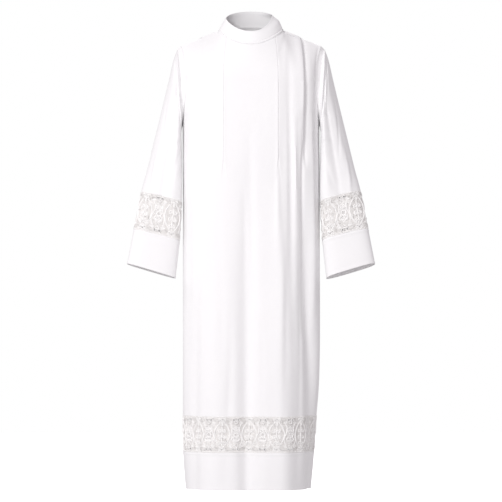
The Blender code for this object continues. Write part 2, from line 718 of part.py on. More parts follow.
def hem_band(name, side, finish):
    """Plain turned-up band at the bottom, front or back."""
    shares = np.linspace(0.0, 1.0, BAND_COLUMNS)
    heights = np.linspace(BAND_TOP, HEM, BAND_ROWS)
    grid = np.array([level_band(side, shares, z) for z in heights])
    present = np.ones((len(heights) - 1, len(shares) - 1), bool)
    normals = outward(grid_normals(grid, present), grid, np.array([0.0, 0.0, HEM]))
    normals = level_edges(normals, (0, -1))
    cloth_wall(name, grid, grid - BAND_CLOTH * normals, finish)


def collar_ring(share, angles):
    """Collar at a share of its height; angles run from the left side over the front."""
    ring = []
    for angle in angles:
        rise = abs(math.sin(angle))
        front = math.sin(angle) > 0
        foot = neck_point(NECK_HALF_WIDTH * math.cos(angle), "front" if front else "back")
        top_z = COLLAR_TOP_SIDE_Z + (
            (COLLAR_TOP_FRONT_Z - COLLAR_TOP_SIDE_Z) * rise ** COLLAR_FRONT_DIP if front
            else (COLLAR_TOP_BACK_Z - COLLAR_TOP_SIDE_Z) * rise ** NECK_BACK_BEND)
        top_y = -COLLAR_TOP_FRONT * rise if front else COLLAR_TOP_BACK * rise
        lean = share ** COLLAR_LEAN
        y = foot[1] + (top_y - foot[1]) * lean
        x = (NECK_HALF_WIDTH + (COLLAR_TOP_HALF_WIDTH - NECK_HALF_WIDTH) * lean) * math.cos(angle)
        z = foot[2] + (top_z - foot[2]) * share
        lift = PLEAT_STEP * smooth((rise - 0.35) / 0.4) * (1 - share) if front else 0.0
        clear = (2 if front else 5) * SEAM * (1 - share)
        ring.append((x, y - lift, z + 0.5 * lift + clear))
    return np.array(ring)


def collar(finish):
    """Stand-up collar, open at the left shoulder, its front end cut back at the foot."""
    grid = []
    for share, cut_back in zip(COLLAR_ROWS, COLLAR_CUT_BACK):
        start = cut_back / NECK_HALF_WIDTH
        end = 2 * math.pi - COLLAR_CUT_BACK[-1] / NECK_HALF_WIDTH
        angles = np.linspace(start, end, 2 * COLLAR_STEPS + 1)
        grid.append(collar_ring(share, angles))
    grid = np.array(grid)
    present = np.ones((len(COLLAR_ROWS) - 1, 2 * COLLAR_STEPS), bool)
    normals = outward(grid_normals(grid, present), grid, np.array([0.0, -0.01, 0.0]))
    cloth_wall("collar", grid, grid - COLLAR_CLOTH * normals, finish)


def shoulder_placket(front_grid, finish):
    """Narrow strip over the closing on the left shoulder, moved out of the front."""
    middle = (front_grid.shape[1] - 1) // 2
    first = middle + INNER_PANEL_COLUMNS + PLEAT_COLUMNS + 1
    last = first + 2
    edge, low = front_grid[0], front_grid[1]
    columns = []
    for i in range(first, last):
        for share in (0.0, 0.5):
            columns.append((edge[i] * (1 - share) + edge[i + 1] * share,
                            low[i] * (1 - share) + low[i + 1] * share))
    columns.append((edge[last], low[last]))
    rows = [np.array([a * (1 - v) + b * v for a, b in columns]) for v in STRIP_ROWS]
    grid = np.array(rows)
    present = np.ones((len(STRIP_ROWS) - 1, grid.shape[1] - 1), bool)
    normals = outward(grid_normals(grid, present), grid, np.array([TIP_X / 2, 0.0, -0.5]))
    cloth_wall("shoulder_placket", grid + (STRIP_LIFT + STRIP_CLOTH) * normals,
               grid + STRIP_LIFT * normals, finish)


def build():
    """The whole robe."""
    for item in list(bpy.data.objects):
        bpy.data.objects.remove(item, do_unlink=True)
    body_cloth = material("body_cloth", (0.93, 0.92, 0.93), 0.62)
    band_cloth = material("band_cloth", (0.94, 0.93, 0.94), 0.60)
    lace = material("lace", (0.80, 0.77, 0.74), 0.75)
    front = body_panel("front", body_cloth)
    back = body_panel("back", body_cloth)
    collar(band_cloth)
    shoulder_placket(front[0], band_cloth)
    for name, sign in (("left", 1), ("right", -1)):
        sleeve("sleeve_" + name, sign, (front, back), body_cloth)
        for face in ("front", "back"):
            sleeve_lace("sleeve_lace_" + name + "_" + face, sign, face, lace)
        cuff("cuff_" + name, sign, band_cloth)
    for side in ("front", "back"):
        hem_lace("hem_lace_" + side, side, lace)
        hem_band("hem_band_" + side, side, band_cloth)


build()
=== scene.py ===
# %% [markdown]
# # Alb robe
# A white ankle-length vestment stands as if worn, with nobody inside. Each piece that a
# tailor would cut is made here as its own thin sheet of cloth, laid on the form that the
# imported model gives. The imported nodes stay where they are; each sheet stands for one.

# %% Load the frame
import math

import bpy
import numpy as np
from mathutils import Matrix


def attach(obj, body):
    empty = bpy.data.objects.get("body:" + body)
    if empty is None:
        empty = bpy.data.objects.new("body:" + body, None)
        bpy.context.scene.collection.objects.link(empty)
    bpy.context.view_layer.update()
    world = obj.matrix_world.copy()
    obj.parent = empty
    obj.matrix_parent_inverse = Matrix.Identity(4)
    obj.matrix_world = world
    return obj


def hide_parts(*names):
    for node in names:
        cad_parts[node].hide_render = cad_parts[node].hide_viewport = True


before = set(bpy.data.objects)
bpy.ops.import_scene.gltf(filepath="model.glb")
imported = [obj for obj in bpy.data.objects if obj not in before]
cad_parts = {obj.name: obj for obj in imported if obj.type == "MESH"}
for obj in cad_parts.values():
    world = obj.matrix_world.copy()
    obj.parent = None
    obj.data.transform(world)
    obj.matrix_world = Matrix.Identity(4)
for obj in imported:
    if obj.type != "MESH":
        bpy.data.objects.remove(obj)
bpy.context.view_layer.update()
print("frame nodes:", len(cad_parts))

# %% [markdown]
# Three small tools serve all the shapes. One eases from 0 to 1, one runs a smooth line
# through the rows of a table, and one reads values off a line for each row of a grid.
# All take whole arrays, so that a piece with many thousand points is made at once.

# %% Easing and table curves
def smooth(t):
    """Ease from 0 to 1 with level ends: t squared times (3 minus twice t)."""
    t = np.clip(t, 0.0, 1.0)
    return t * t * (3.0 - 2.0 * t)


def curve_through(t, ts, values):
    """Cubic curve through the values, its slope at each the mean of both sides."""
    slopes = np.gradient(values, ts)
    t = np.clip(t, ts[0], ts[-1])
    k = np.clip(np.searchsorted(ts, t) - 1, 0, len(ts) - 2)
    span = ts[k + 1] - ts[k]
    w = (t - ts[k]) / span
    return ((1 + 2 * w) * (1 - w) ** 2 * values[k] + w * (1 - w) ** 2 * span * slopes[k]
            + w * w * (3 - 2 * w) * values[k + 1] + w * w * (w - 1) * span * slopes[k + 1])


def interp_rows(x, xp, fp):
    """Row by row, the value at x on the line through the points (xp, fp)."""
    return np.array([np.interp(a, b, c) for a, b, c in zip(x, xp, fp)])


print("a quarter eased:", smooth(0.25))

# %% [markdown]
# The robe hangs from the shoulders as a wide tube that is flatter in front than an
# ellipse. A level cut through it is a superellipse, whose squareness and size change
# slowly on the way down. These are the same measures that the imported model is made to.

# %% Measures of the body
CLOTH, SEAM = 0.0005, 0.0003
CHEST, UNDERARM, SIDE_MERGE = -0.160, -0.295, -0.345
LACE_TOP, BAND_TOP, HEM = -1.1966, -1.3098, -1.4215
SECTION_COLUMNS = ("z", "half_width", "centre_x", "front", "back", "squareness")
SECTIONS = np.array((
    (-0.160, 0.2135, 0.0000, 0.116, 0.106, 3.2),
    (-0.300, 0.2135, 0.0000, 0.124, 0.110, 3.0),
    (-0.550, 0.2135, 0.0010, 0.128, 0.116, 2.8),
    (-0.840, 0.2125, 0.0000, 0.134, 0.124, 2.7),
    (-1.094, 0.2109, -0.0015, 0.142, 0.134, 2.6),
    (-1.240, 0.2070, -0.0055, 0.147, 0.140, 2.5),
    (-1.318, 0.2044, -0.0075, 0.150, 0.143, 2.5),
    (-1.4215, 0.1961, -0.0085, 0.153, 0.146, 2.4),
))


def section(z, name):
    """A body section's measure at each height, from the table."""
    column = SECTIONS[:, SECTION_COLUMNS.index(name)]
    return curve_through(-np.asarray(z), -SECTIONS[:, 0], column)


# %% [markdown]
# To lay cloth on a section we need the point at a given length along it. The length of
# a superellipse has no short formula, so it is summed once for many heights and then
# looked up.

# %% Level sections by length
TABLE_HEIGHTS = np.linspace(CHEST, HEM, 160)
TABLE_SHARES = np.linspace(0.0, 1.0, 241)


def section_tables(side):
    """Half sections from the centre line to the side seam, at every table height.

    x is a sine and y a cosine of the angle, both to the power 2 / squareness.
    """
    angles = TABLE_SHARES * math.pi / 2
    power = 2.0 / section(TABLE_HEIGHTS, "squareness")[:, None]
    x = section(TABLE_HEIGHTS, "half_width")[:, None] * np.sin(angles) ** power
    y = section(TABLE_HEIGHTS, side)[:, None] * np.abs(np.cos(angles)) ** power
    y[:, -1] = 0.0
    steps = np.hypot(np.diff(x), np.diff(y))
    arc = np.concatenate((np.zeros((len(x), 1)), np.cumsum(steps, axis=1)), axis=1)
    even = TABLE_SHARES * arc[:, -1:]
    return {"arc": arc, "x": interp_rows(even, arc, x), "y": interp_rows(even, arc, y)}


TABLES = {side: section_tables(side) for side in ("front", "back")}


def lookup(table, z, share):
    """Value between the four nearest entries of a table of heights and shares."""
    rows, columns = table.shape
    r = np.clip((z - CHEST) / (HEM - CHEST), 0.0, 1.0) * (rows - 1)
    c = np.clip(share, 0.0, 1.0) * (columns - 1)
    j = np.minimum(r.astype(int), rows - 2)
    i = np.minimum(c.astype(int), columns - 2)
    v, u = r - j, c - i
    return ((table[j, i] * (1 - u) + table[j, i + 1] * u) * (1 - v)
            + (table[j + 1, i] * (1 - u) + table[j + 1, i + 1] * u) * v)


def reach(z, side):
    """Length of a half section."""
    return lookup(TABLES[side]["arc"], z, np.ones_like(z))


def arc_where(z, side, x=None, y=None):
    """Length along a half section at which it has reached x, or come in to depth y."""
    power = section(z, "squareness") / 2.0
    if x is not None:
        angle = np.arcsin(np.clip(x / section(z, "half_width"), 0, 1) ** power)
    else:
        angle = np.arccos(np.clip(y / section(z, side), 0, 1) ** power)
    return lookup(TABLES[side]["arc"], z, angle / (math.pi / 2))


def level_point(arc, z, side, sign):
    """Point of the plain body at a length along its half section."""
    share = arc / reach(z, side)
    across = lookup(TABLES[side]["x"], z, share)
    depth = lookup(TABLES[side]["y"], z, share)
    facing = -1.0 if side == "front" else 1.0
    return np.stack((section(z, "centre_x") + sign * across, facing * depth, z), axis=-1)


hem_halves = [float(reach(np.array([HEM]), side)[0]) for side in TABLES]
print("girth at the hem:", round(2 * sum(hem_halves), 3))

# %% [markdown]
# Above the chest the front and back curve over the shoulders to meet in a sloping seam,
# and the neck is cut out between them. Places across a half panel are numbered, from
# the centre line to the side seam, so that a pleat keeps its number all the way down.

# %% The plain body with its shoulders
NECK_HALF_WIDTH, NECK_FRONT, NECK_BACK = 0.1007, 0.088, 0.062
NECK_SIDE_Z, NECK_FRONT_Z, NECK_BACK_Z = 0.003, -0.0434, 0.018
TIP_X, TIP_Z, ARMHOLE_DEPTH = 0.2186, -0.041, 0.060
PLACE_INNER, PLACE_NECK, PLACE_OUTER, PLACE_ARMHOLE, PLACE_SIDE = 1, 2, 3, 4, 5
# each pleat's place at the shoulder and at the chest, its depth, and where it lets go
PLEATS = ((0.0747, 0.0845, 0.030, -0.375), (0.1540, 0.1640, 0.026, -0.315))
PLACES_AT_TOP = np.array((0.0, PLEATS[0][0], NECK_HALF_WIDTH, PLEATS[1][0], TIP_X))
PLACES_AT_CHEST = np.array((0.0, PLEATS[0][1], 0.1100, PLEATS[1][1]))
NECK_EASING, NECK_EASED_SHARE = 0.034, 0.6
NORMAL_STEP, NORMAL_ROW_STEP = 0.002, 0.01
SHOULDER_SLOPE = math.atan2(NECK_SIDE_Z - TIP_Z, TIP_X - NECK_HALF_WIDTH)


def arc_at(place, z, side):
    """Length along the half section at a numbered place."""
    level = np.minimum(z, CHEST)
    marks = [np.zeros_like(level)]
    marks += [arc_where(level, side, x=np.full_like(level, x)) for x in PLACES_AT_CHEST[1:]]
    marks += [arc_where(level, side, y=np.full_like(level, ARMHOLE_DEPTH))]
    arc = sum((marks[k + 1] - marks[k]) * np.clip(place - k, 0, 1) for k in range(4))
    turn = np.clip(place - PLACE_ARMHOLE, 0, 1) * math.pi / 2
    under = arc_where(level, side, y=ARMHOLE_DEPTH * np.cos(turn))
    return np.where(place > PLACE_ARMHOLE, under, arc)


def top_edge(x, side):
    """Upper edge of the body: neck seam in the middle, shoulder seams outside it."""
    front = side == "front"
    rise = np.sqrt(np.maximum(1.0 - (x / NECK_HALF_WIDTH) ** 2, 0.0))
    neck_y = -NECK_FRONT * rise if front else NECK_BACK * rise
    low_z, bend = (NECK_FRONT_Z, 1.75) if front else (NECK_BACK_Z, 1.2)
    neck_z = NECK_SIDE_Z + (low_z - NECK_SIDE_Z) * rise ** bend
    along = (np.abs(x) - NECK_HALF_WIDTH) / (TIP_X - NECK_HALF_WIDTH)
    seam_z = NECK_SIDE_Z + (TIP_Z - NECK_SIDE_Z) * along
    inside = np.abs(x) < NECK_HALF_WIDTH
    seam_y = np.full_like(x, -SEAM / 2 if front else SEAM / 2)
    y, z = np.where(inside, neck_y, seam_y), np.where(inside, neck_z, seam_z)
    return np.stack((x, y, z), axis=-1)


def row_height(place, z):
    """Height of a body row at a place: rows bend down under the armhole."""
    turn = np.clip(place - PLACE_ARMHOLE, 0, 1) * math.pi / 2
    edge = CHEST + (UNDERARM - CHEST) * np.sin(turn)
    bent = edge + (z - CHEST) * (SIDE_MERGE - edge) / (SIDE_MERGE - CHEST)
    return np.where((place > PLACE_ARMHOLE) & (z > SIDE_MERGE), bent, z)


def body_base(place, shift, row, side, sign):
    """Point of the body without pleats or folds.

    Rows from 0 to 1 go over the shoulder along a parabola from the top edge to the
    chest; a row below 0 is a height. Shift moves the point along the section. The
    corner between neck and shoulder is eased by a mean of nine points of the edge.
    """
    z = row_height(place, np.minimum(row, CHEST))
    hanging = level_point(arc_at(place, z, side) + shift, z, side, sign)
    chest = np.full_like(z, CHEST)
    arc = arc_at(np.minimum(place, PLACE_ARMHOLE), chest, side) + shift
    low = level_point(arc, chest, side, sign)
    arcs = arc_at(np.arange(5.0), np.full(5, CHEST), side)
    down = np.clip(row, 0.0, 1.0)
    across = np.interp(arc, arcs, PLACES_AT_TOP)
    spread = NECK_EASING * smooth(down / NECK_EASED_SHARE)
    high = np.mean([top_edge(sign * (across + k * spread), side)
                    for k in np.linspace(-1, 1, 9)], axis=0)
    down = down[..., None]
    over = 1.0 - (1.0 - down) ** 2
    yoke = high + (low - high) * np.concatenate((over, over, down), axis=-1)
    return np.where(row[..., None] < 0.0, hanging, yoke)


def body_normal(place, shift, row, side, sign):
    """Outward direction of the plain body: the cross product of two small steps on it."""
    step, row_step = NORMAL_STEP, NORMAL_ROW_STEP
    along = (body_base(place, shift + step, row, side, sign)
             - body_base(place, shift - step, row, side, sign))
    hangs = row < 0.0
    low = np.where(hangs, row - step, np.minimum(row + row_step, 1.0))
    high = np.where(hangs, np.minimum(row + step, CHEST), np.maximum(row - row_step, 0.0))
    down = (body_base(place, shift, low, side, sign)
            - body_base(place, shift, high, side, sign))
    normal = np.cross(down, along) * (sign if side == "front" else -sign)[..., None]
    normal[..., 2] = np.where(hangs, 0.0, normal[..., 2])
    normal /= np.linalg.norm(normal, axis=-1, keepdims=True)
    base = body_base(place, shift, row, side, sign)
    seam = (row == 0.0) & (np.abs(base[..., 0]) >= NECK_HALF_WIDTH)
    square = np.stack((np.copysign(math.sin(SHOULDER_SLOPE), base[..., 0]),
                       np.zeros_like(row), np.full_like(row, math.cos(SHOULDER_SLOPE))), axis=-1)
    return np.where(seam[..., None], square, normal)


print("shoulder slope in degrees:", round(math.degrees(SHOULDER_SLOPE), 1))

# %% [markdown]
# Cloth that hangs free from a yoke closes up into long folds. Each one is a round ridge
# or a trough along a slanting line, shallow where it starts and deeper towards the hem.
# The two tables hold the main folds, placed so that none is like its neighbour.

# %% Long folds
# across at the top and the hem, half width, height, and where it starts and is full
LONG_FOLDS = {
    "front": (
        (-0.018, -0.014, 0.024, -0.016, -0.33, -1.20),
        (-0.080, -0.118, 0.036, 0.007, -0.40, -1.30),
        (0.040, 0.052, 0.030, 0.005, -0.36, -1.20),
        (0.086, 0.101, 0.034, 0.016, -0.34, -1.05),
        (0.160, 0.190, 0.017, -0.013, -0.24, -0.80),
        (0.193, 0.206, 0.012, 0.006, -0.24, -0.80),
        (-0.168, -0.176, 0.016, -0.007, -0.36, -1.25)),
    "back": (
        (0.000, 0.004, 0.030, 0.012, -0.20, -1.20),
        (0.052, 0.066, 0.026, -0.017, -0.16, -1.15),
        (-0.048, -0.060, 0.028, -0.016, -0.18, -1.20),
        (0.108, 0.122, 0.026, 0.012, -0.22, -1.10),
        (-0.104, -0.118, 0.028, 0.011, -0.20, -1.20),
        (0.156, 0.164, 0.018, -0.009, -0.30, -1.15),
        (-0.158, -0.166, 0.018, -0.010, -0.30, -1.15)),
}


def fold_height(x, z, side):
    """Sum of the long folds: height * grown * exp(-(distance / width) squared)."""
    total = np.zeros_like(x)
    for x_top, x_hem, width, height, start, full in LONG_FOLDS[side]:
        grown = smooth((z - start) / (full - start))
        middle = x_top + (x_hem - x_top) * smooth((z - start) / (HEM - start))
        total += height * grown * np.exp(-((x - middle) / width) ** 2)
    return total


print("long folds:", {side: len(folds) for side, folds in LONG_FOLDS.items()})

# %% [markdown]
# Between the folds lie short creases, where the cloth was bent or pulled a little. Each
# follows its own slanting, slightly bowed line along the cloth and fades at both ends.

# %% Short creases
# place along the cloth and height of both ends, sideways bow, half width, height
CREASES = {
    "front": (
        (-0.004, -0.280, -0.002, -1.700, 0.000, 0.020, -0.0060),
        (0.165, -0.240, 0.168, -0.960, -0.003, 0.007, -0.0090),
        (0.150, -0.640, 0.156, -1.420, 0.003, 0.009, -0.0040),
        (0.137, -0.250, 0.140, -0.860, 0.002, 0.007, 0.0058),
        (0.119, -0.180, 0.122, -0.900, 0.003, 0.008, -0.0062),
        (0.200, -0.240, 0.204, -1.050, 0.002, 0.009, 0.0060),
        (0.1728, 0.060, 0.1755, -0.430, 0.000, 0.0048, -0.0170),
        (0.180, 0.060, 0.183, -0.430, 0.000, 0.009, -0.0050),
        (0.156, 0.060, 0.160, -0.400, 0.000, 0.012, 0.0035),
        (0.118, -0.050, 0.116, -0.400, 0.002, 0.013, -0.0040),
        (0.113, 0.040, 0.113, -0.120, 0.000, 0.014, 0.0050),
        (0.219, 0.060, 0.220, -0.620, 0.000, 0.0070, -0.0110),
        (0.084, -0.330, 0.082, -0.760, -0.002, 0.008, 0.0030),
        (0.178, -0.120, 0.170, -0.330, 0.003, 0.007, -0.0030),
        (0.176, -0.175, 0.150, -0.300, 0.006, 0.008, -0.0022),
        (-0.190, -0.180, -0.164, -0.330, -0.006, 0.010, -0.0024),
        (-0.180, -0.240, -0.140, -0.420, -0.008, 0.012, 0.0020),
        (0.192, -0.260, 0.172, -0.420, 0.005, 0.010, -0.0024),
        (-0.026, -0.450, -0.020, -0.960, 0.004, 0.010, -0.0024),
        (-0.008, -0.520, 0.004, -1.180, -0.005, 0.012, 0.0026),
        (0.082, -0.460, 0.096, -1.060, 0.006, 0.012, 0.0028),
        (0.108, -0.700, 0.110, -1.300, -0.003, 0.010, -0.0030),
        (-0.105, -0.560, -0.092, -1.100, 0.006, 0.014, -0.0026),
        (-0.140, -0.480, -0.150, -1.160, -0.005, 0.014, 0.0024),
        (-0.064, -0.840, -0.074, -1.420, 0.004, 0.012, -0.0030),
        (0.034, -0.900, 0.030, -1.430, 0.004, 0.012, -0.0026),
        (0.150, -0.480, 0.156, -1.060, 0.004, 0.010, 0.0026),
        (0.200, -0.420, 0.206, -1.250, -0.004, 0.014, -0.0034),
        (-0.205, -0.420, -0.214, -1.200, 0.004, 0.014, -0.0032),
        (0.245, -0.460, 0.240, -1.300, 0.004, 0.016, 0.0030),
        (-0.250, -0.500, -0.244, -1.340, 0.004, 0.016, 0.0030)),
    "back": (
        (0.172, -0.180, 0.138, -0.330, 0.006, 0.010, -0.0024),
        (-0.168, -0.190, -0.140, -0.360, -0.006, 0.010, -0.0022),
        (0.020, -0.380, 0.030, -0.900, 0.005, 0.012, -0.0026),
        (-0.024, -0.480, -0.020, -1.150, -0.004, 0.012, -0.0024),
        (0.084, -0.420, 0.092, -1.100, 0.004, 0.013, 0.0028),
        (-0.080, -0.520, -0.086, -1.240, 0.005, 0.012, 0.0026),
        (0.136, -0.600, 0.142, -1.300, -0.004, 0.010, -0.0028),
        (-0.134, -0.440, -0.142, -1.050, 0.004, 0.012, -0.0026),
        (0.200, -0.440, 0.204, -1.200, 0.003, 0.014, 0.0028),
        (-0.204, -0.400, -0.200, -1.300, 0.004, 0.014, 0.0030),
        (0.244, -0.500, 0.240, -1.360, 0.004, 0.016, -0.0028),
        (-0.246, -0.460, -0.250, -1.240, 0.004, 0.016, -0.0030)),
}
SEAM_EASING = 0.030


def crease_height(u, z, side):
    """Sum of the short creases, each fading in and out along its own bowed line."""
    total = np.zeros_like(u)
    for u_top, z_top, u_low, z_low, bow, width, height in CREASES[side]:
        t = np.clip((z - z_top) / (z_low - z_top), 0.0, 1.0)
        middle = u_top + (u_low - u_top) * t + bow * np.sin(math.pi * t)
        along = np.sin(math.pi * t) ** 0.8 * (0.7 + 0.3 * np.cos(5.0 * t + 40 * u_top))
        total += height * along * np.exp(-((u - middle) / (width * (0.6 + 0.8 * t))) ** 2)
    return total


def relief(base, u, side):
    """Height of all folds and creases, easing to nothing at the side seams."""
    x, z = base[..., 0], base[..., 2]
    heights = fold_height(x, z, side) + crease_height(u, z, side)
    edge = reach(np.minimum(z, CHEST), side)
    return heights * smooth((edge - np.abs(u)) / SEAM_EASING)


print("short creases:", {side: len(creases) for side, creases in CREASES.items()})

# %% [markdown]
# Every piece becomes a closed wall as thin as the real cloth. A grid of points on the
# right side is copied inward by the thickness, and rims join the two layers wherever
# the cloth ends. Walls like these are watertight, and their area can be measured.

# %% Directions and distances on a grid
TINY = 1e-12


def grid_normals(grid, present=None, wrap=False):
    """Unit direction out of the cloth: the mean of the cross products of the cells."""
    after = np.roll(grid, -1, axis=1) if wrap else grid[:, 1:]
    here = grid if wrap else grid[:, :-1]
    cells = np.cross(after[1:] - here[:-1], here[1:] - after[:-1])
    cells /= np.maximum(np.linalg.norm(cells, axis=2, keepdims=True), TINY)
    if present is not None:
        cells = cells * present[:, :, None]
    normals = np.zeros_like(grid)
    normals[:-1, :cells.shape[1]] += cells
    normals[1:, :cells.shape[1]] += cells
    beside = np.roll(cells, 1, axis=1) if wrap else cells
    columns = slice(None) if wrap else slice(1, None)
    normals[:-1, columns] += beside
    normals[1:, columns] += beside
    return normals / np.maximum(np.linalg.norm(normals, axis=2, keepdims=True), TINY)


def outward(normals, grid, centre):
    """The same normals, turned so that they point away from a centre on average."""
    return normals if np.sum(normals * (grid - centre)) > 0 else -normals


def grid_measures(grid, wrap=False):
    """Distance along the rows and down the columns, in metres, as cloth coordinates."""
    across = np.linalg.norm(np.diff(grid, axis=1), axis=2).mean(axis=0)
    down = np.linalg.norm(np.diff(grid, axis=0), axis=2).mean(axis=1)
    u = np.concatenate(([0.0], np.cumsum(across)))
    v = np.concatenate(([0.0], np.cumsum(down)))
    return np.stack(np.meshgrid(u, v), axis=-1)


print("cloth thickness in millimetres:", 1000 * CLOTH)

# %% [markdown]
# Arrays go into a mesh in one stroke each. Points that no face uses are left out, and
# edges sharper than an angle are kept crisp, so a pressed pleat stays a line.

# %% A mesh from arrays
def add_mesh(name, points, faces, uv=None, smooth_angle=50):
    """Mesh object from arrays of points and of faces with one corner count."""
    corners = faces.shape[1]
    used, faces = np.unique(faces, return_inverse=True)
    faces = faces.reshape(-1, corners)
    mesh = bpy.data.meshes.new(name)
    mesh.vertices.add(len(used))
    mesh.vertices.foreach_set("co", points[used].astype(np.float32).ravel())
    mesh.loops.add(faces.size)
    mesh.loops.foreach_set("vertex_index", faces.astype(np.int32).ravel())
    mesh.polygons.add(len(faces))
    starts = np.arange(0, faces.size, corners, dtype=np.int32)
    mesh.polygons.foreach_set("loop_start", starts)
    mesh.update(calc_edges=True)
    if uv is not None:
        layer = mesh.uv_layers.new(name="Cloth")
        placed = uv[used][faces.ravel()].astype(np.float32)
        layer.data.foreach_set("uv", placed.ravel())
    mesh.validate()
    mesh.shade_smooth()
    mesh.set_sharp_from_angle(angle=math.radians(smooth_angle))
    obj = bpy.data.objects.new(name, mesh)
    bpy.context.scene.collection.objects.link(obj)
    print(name, "points", len(used), "faces", len(faces))
    return obj


# %% [markdown]
# A wall has two layers of the same grid. A rim is added on each side of a cell that has
# no neighbour there, at the outer edges as well as at the armholes.

# %% From a grid to a thin wall
def wall_faces(present, columns, wrap=False):
    """Quads of both layers of a wall, and of its rims where a cell has no neighbour."""
    rows = present.shape[0] + 1
    number = np.arange(rows * columns).reshape(rows, columns)
    after = np.roll(number, -1, axis=1) if wrap else number[:, 1:]
    here = number if wrap else number[:, :-1]
    a, b, c, d = here[:-1], after[:-1], after[1:], here[1:]
    inner = rows * columns
    padded = np.pad(present, 1)
    if wrap:
        padded[1:-1, 0], padded[1:-1, -1] = present[:, -1], present[:, 0]
    faces = [np.stack((a, b, c, d), axis=-1)[present],
             np.stack((d, c, b, a), axis=-1)[present] + inner]
    sides = ((a, b, padded[:-2, 1:-1]), (c, d, padded[2:, 1:-1]),
             (d, a, padded[1:-1, :-2]), (b, c, padded[1:-1, 2:]))
    for start, end, neighbour in sides:
        rim = np.stack((end, start, start + inner, end + inner), axis=-1)
        faces.append(rim[present & ~neighbour])
    return np.concatenate(faces)


def cloth_wall(name, grid, thickness, normals, present=None, wrap=False):
    """Thin closed wall: the grid, and the grid minus thickness times its normals."""
    cells = grid.shape[1] if wrap else grid.shape[1] - 1
    if present is None:
        present = np.ones((grid.shape[0] - 1, cells), bool)
    faces = wall_faces(present, grid.shape[1], wrap)
    first = np.cross(grid[1, 1] - grid[0, 0], grid[1, 0] - grid[0, 1])
    middle = np.cross(grid[-1, 1] - grid[-2, 0], grid[-1, 0] - grid[-2, 1])
    if first @ normals[0, 0] + middle @ normals[-1, 0] < 0:
        faces = faces[:, ::-1]
    thickness = np.broadcast_to(thickness, grid.shape[:2])[..., None]
    inside = grid - thickness * normals
    points = np.concatenate((grid.reshape(-1, 3), inside.reshape(-1, 3)))
    uv = grid_measures(grid).reshape(-1, 2)
    return add_mesh(name, points, faces, np.concatenate((uv, uv)))


# %% [markdown]
# Knife pleats give the front its fullness. The cloth runs out to a pressed edge, turns
# back under itself and out again, so three layers lie on each other. Lower down the
# pleat lets go and the same cloth spreads into one gentle slope.

# %% Knife pleats
PLEAT_GAPS = (0.0003, 0.0011)
PLEAT_STEPS = [2 * CLOTH + 2 * gap for gap in PLEAT_GAPS]
PRESSED_RIDGE, PLEAT_BULGE = (0.0008, 0.0020), 0.0018
PLEAT_END_DEPTH, PLEAT_OPEN_SPAN, PLEAT_OPENING = 0.006, 0.034, 0.110
RIDGE_STATIONS = (-0.012, -0.008, -0.005, -0.0028)
ONWARD_STATIONS = (0.0, 0.0015, 0.003, 0.005, 0.0075, 0.0115, PLEAT_OPEN_SPAN / 2)


def pleat_openness(pleat, row):
    """0 where a pleat is folded flat, 1 where it has opened."""
    return np.where(row < 0.0, smooth((PLEATS[pleat][3] - row) / PLEAT_OPENING), 0.0)


def pleat_path(pleat, row):
    """The cloth's way round a pleat, as (shift along the body, lift) for each row.

    Four points go up a low pressed ridge, seven round the edge, one back, five round
    the inner fold and eight out again; open, they lie in one slope.
    """
    full_depth, release = PLEATS[pleat][2:]
    fall = np.where(row < 0.0, smooth((row - CHEST) / (release - CHEST)), 0.0)
    depth = (full_depth + (PLEAT_END_DEPTH - full_depth) * fall)[:, None]
    level = np.zeros_like(depth)
    gap, upper = PLEAT_GAPS[pleat], (PLEAT_STEPS[0], 0.0)[pleat]
    turn, inner = CLOTH + gap / 2, gap / 2
    out = np.radians(np.linspace(90, -90, 7))
    back = np.radians(np.linspace(90, 270, 5))
    before = level + np.array(RIDGE_STATIONS)
    ridge = np.where(row[:, None] > -0.02, 0.3, 1.0) * PRESSED_RIDGE[pleat]
    onward = np.array(ONWARD_STATIONS)
    bulge = (PLEAT_BULGE, 0.0)[pleat] * smooth(onward / onward[1])
    bulge = bulge * (1.0 - smooth(onward / onward[-1]))
    rise = upper + ridge * np.array((0.0, 0.25, 0.75, 1.0))
    edge = upper - turn + turn * np.sin(out) + ridge * (1.0 + np.sin(out)) / 2
    under = upper - 2 * turn - inner + inner * np.sin(back)
    shift = np.concatenate((before, level + turn * np.cos(out) - turn, -depth / 2,
                            -depth + inner * np.cos(back), -depth / 2, level + onward),
                           axis=1)
    lower = level + upper - PLEAT_STEPS[pleat]
    lift = np.concatenate((rise + level, edge + level, level + upper - 2 * turn,
                           under + level, lower, lower + bulge), axis=1)
    shares = np.linspace(-0.5, 0.5, shift.shape[1])
    openness = pleat_openness(pleat, row)[:, None]
    return shift + (shares * PLEAT_OPEN_SPAN - shift) * openness, lift * (1.0 - openness)


# first and last place and number of columns of the flat parts beside the pleats
FLAT_STATIONS = ((0.0, 0.79, 15), (1.85, 2.68, 10), (3.4, 4.0, 10))
PLEAT_PLACES = (PLACE_INNER, PLACE_OUTER)
UNDERARM_CELLS = 21


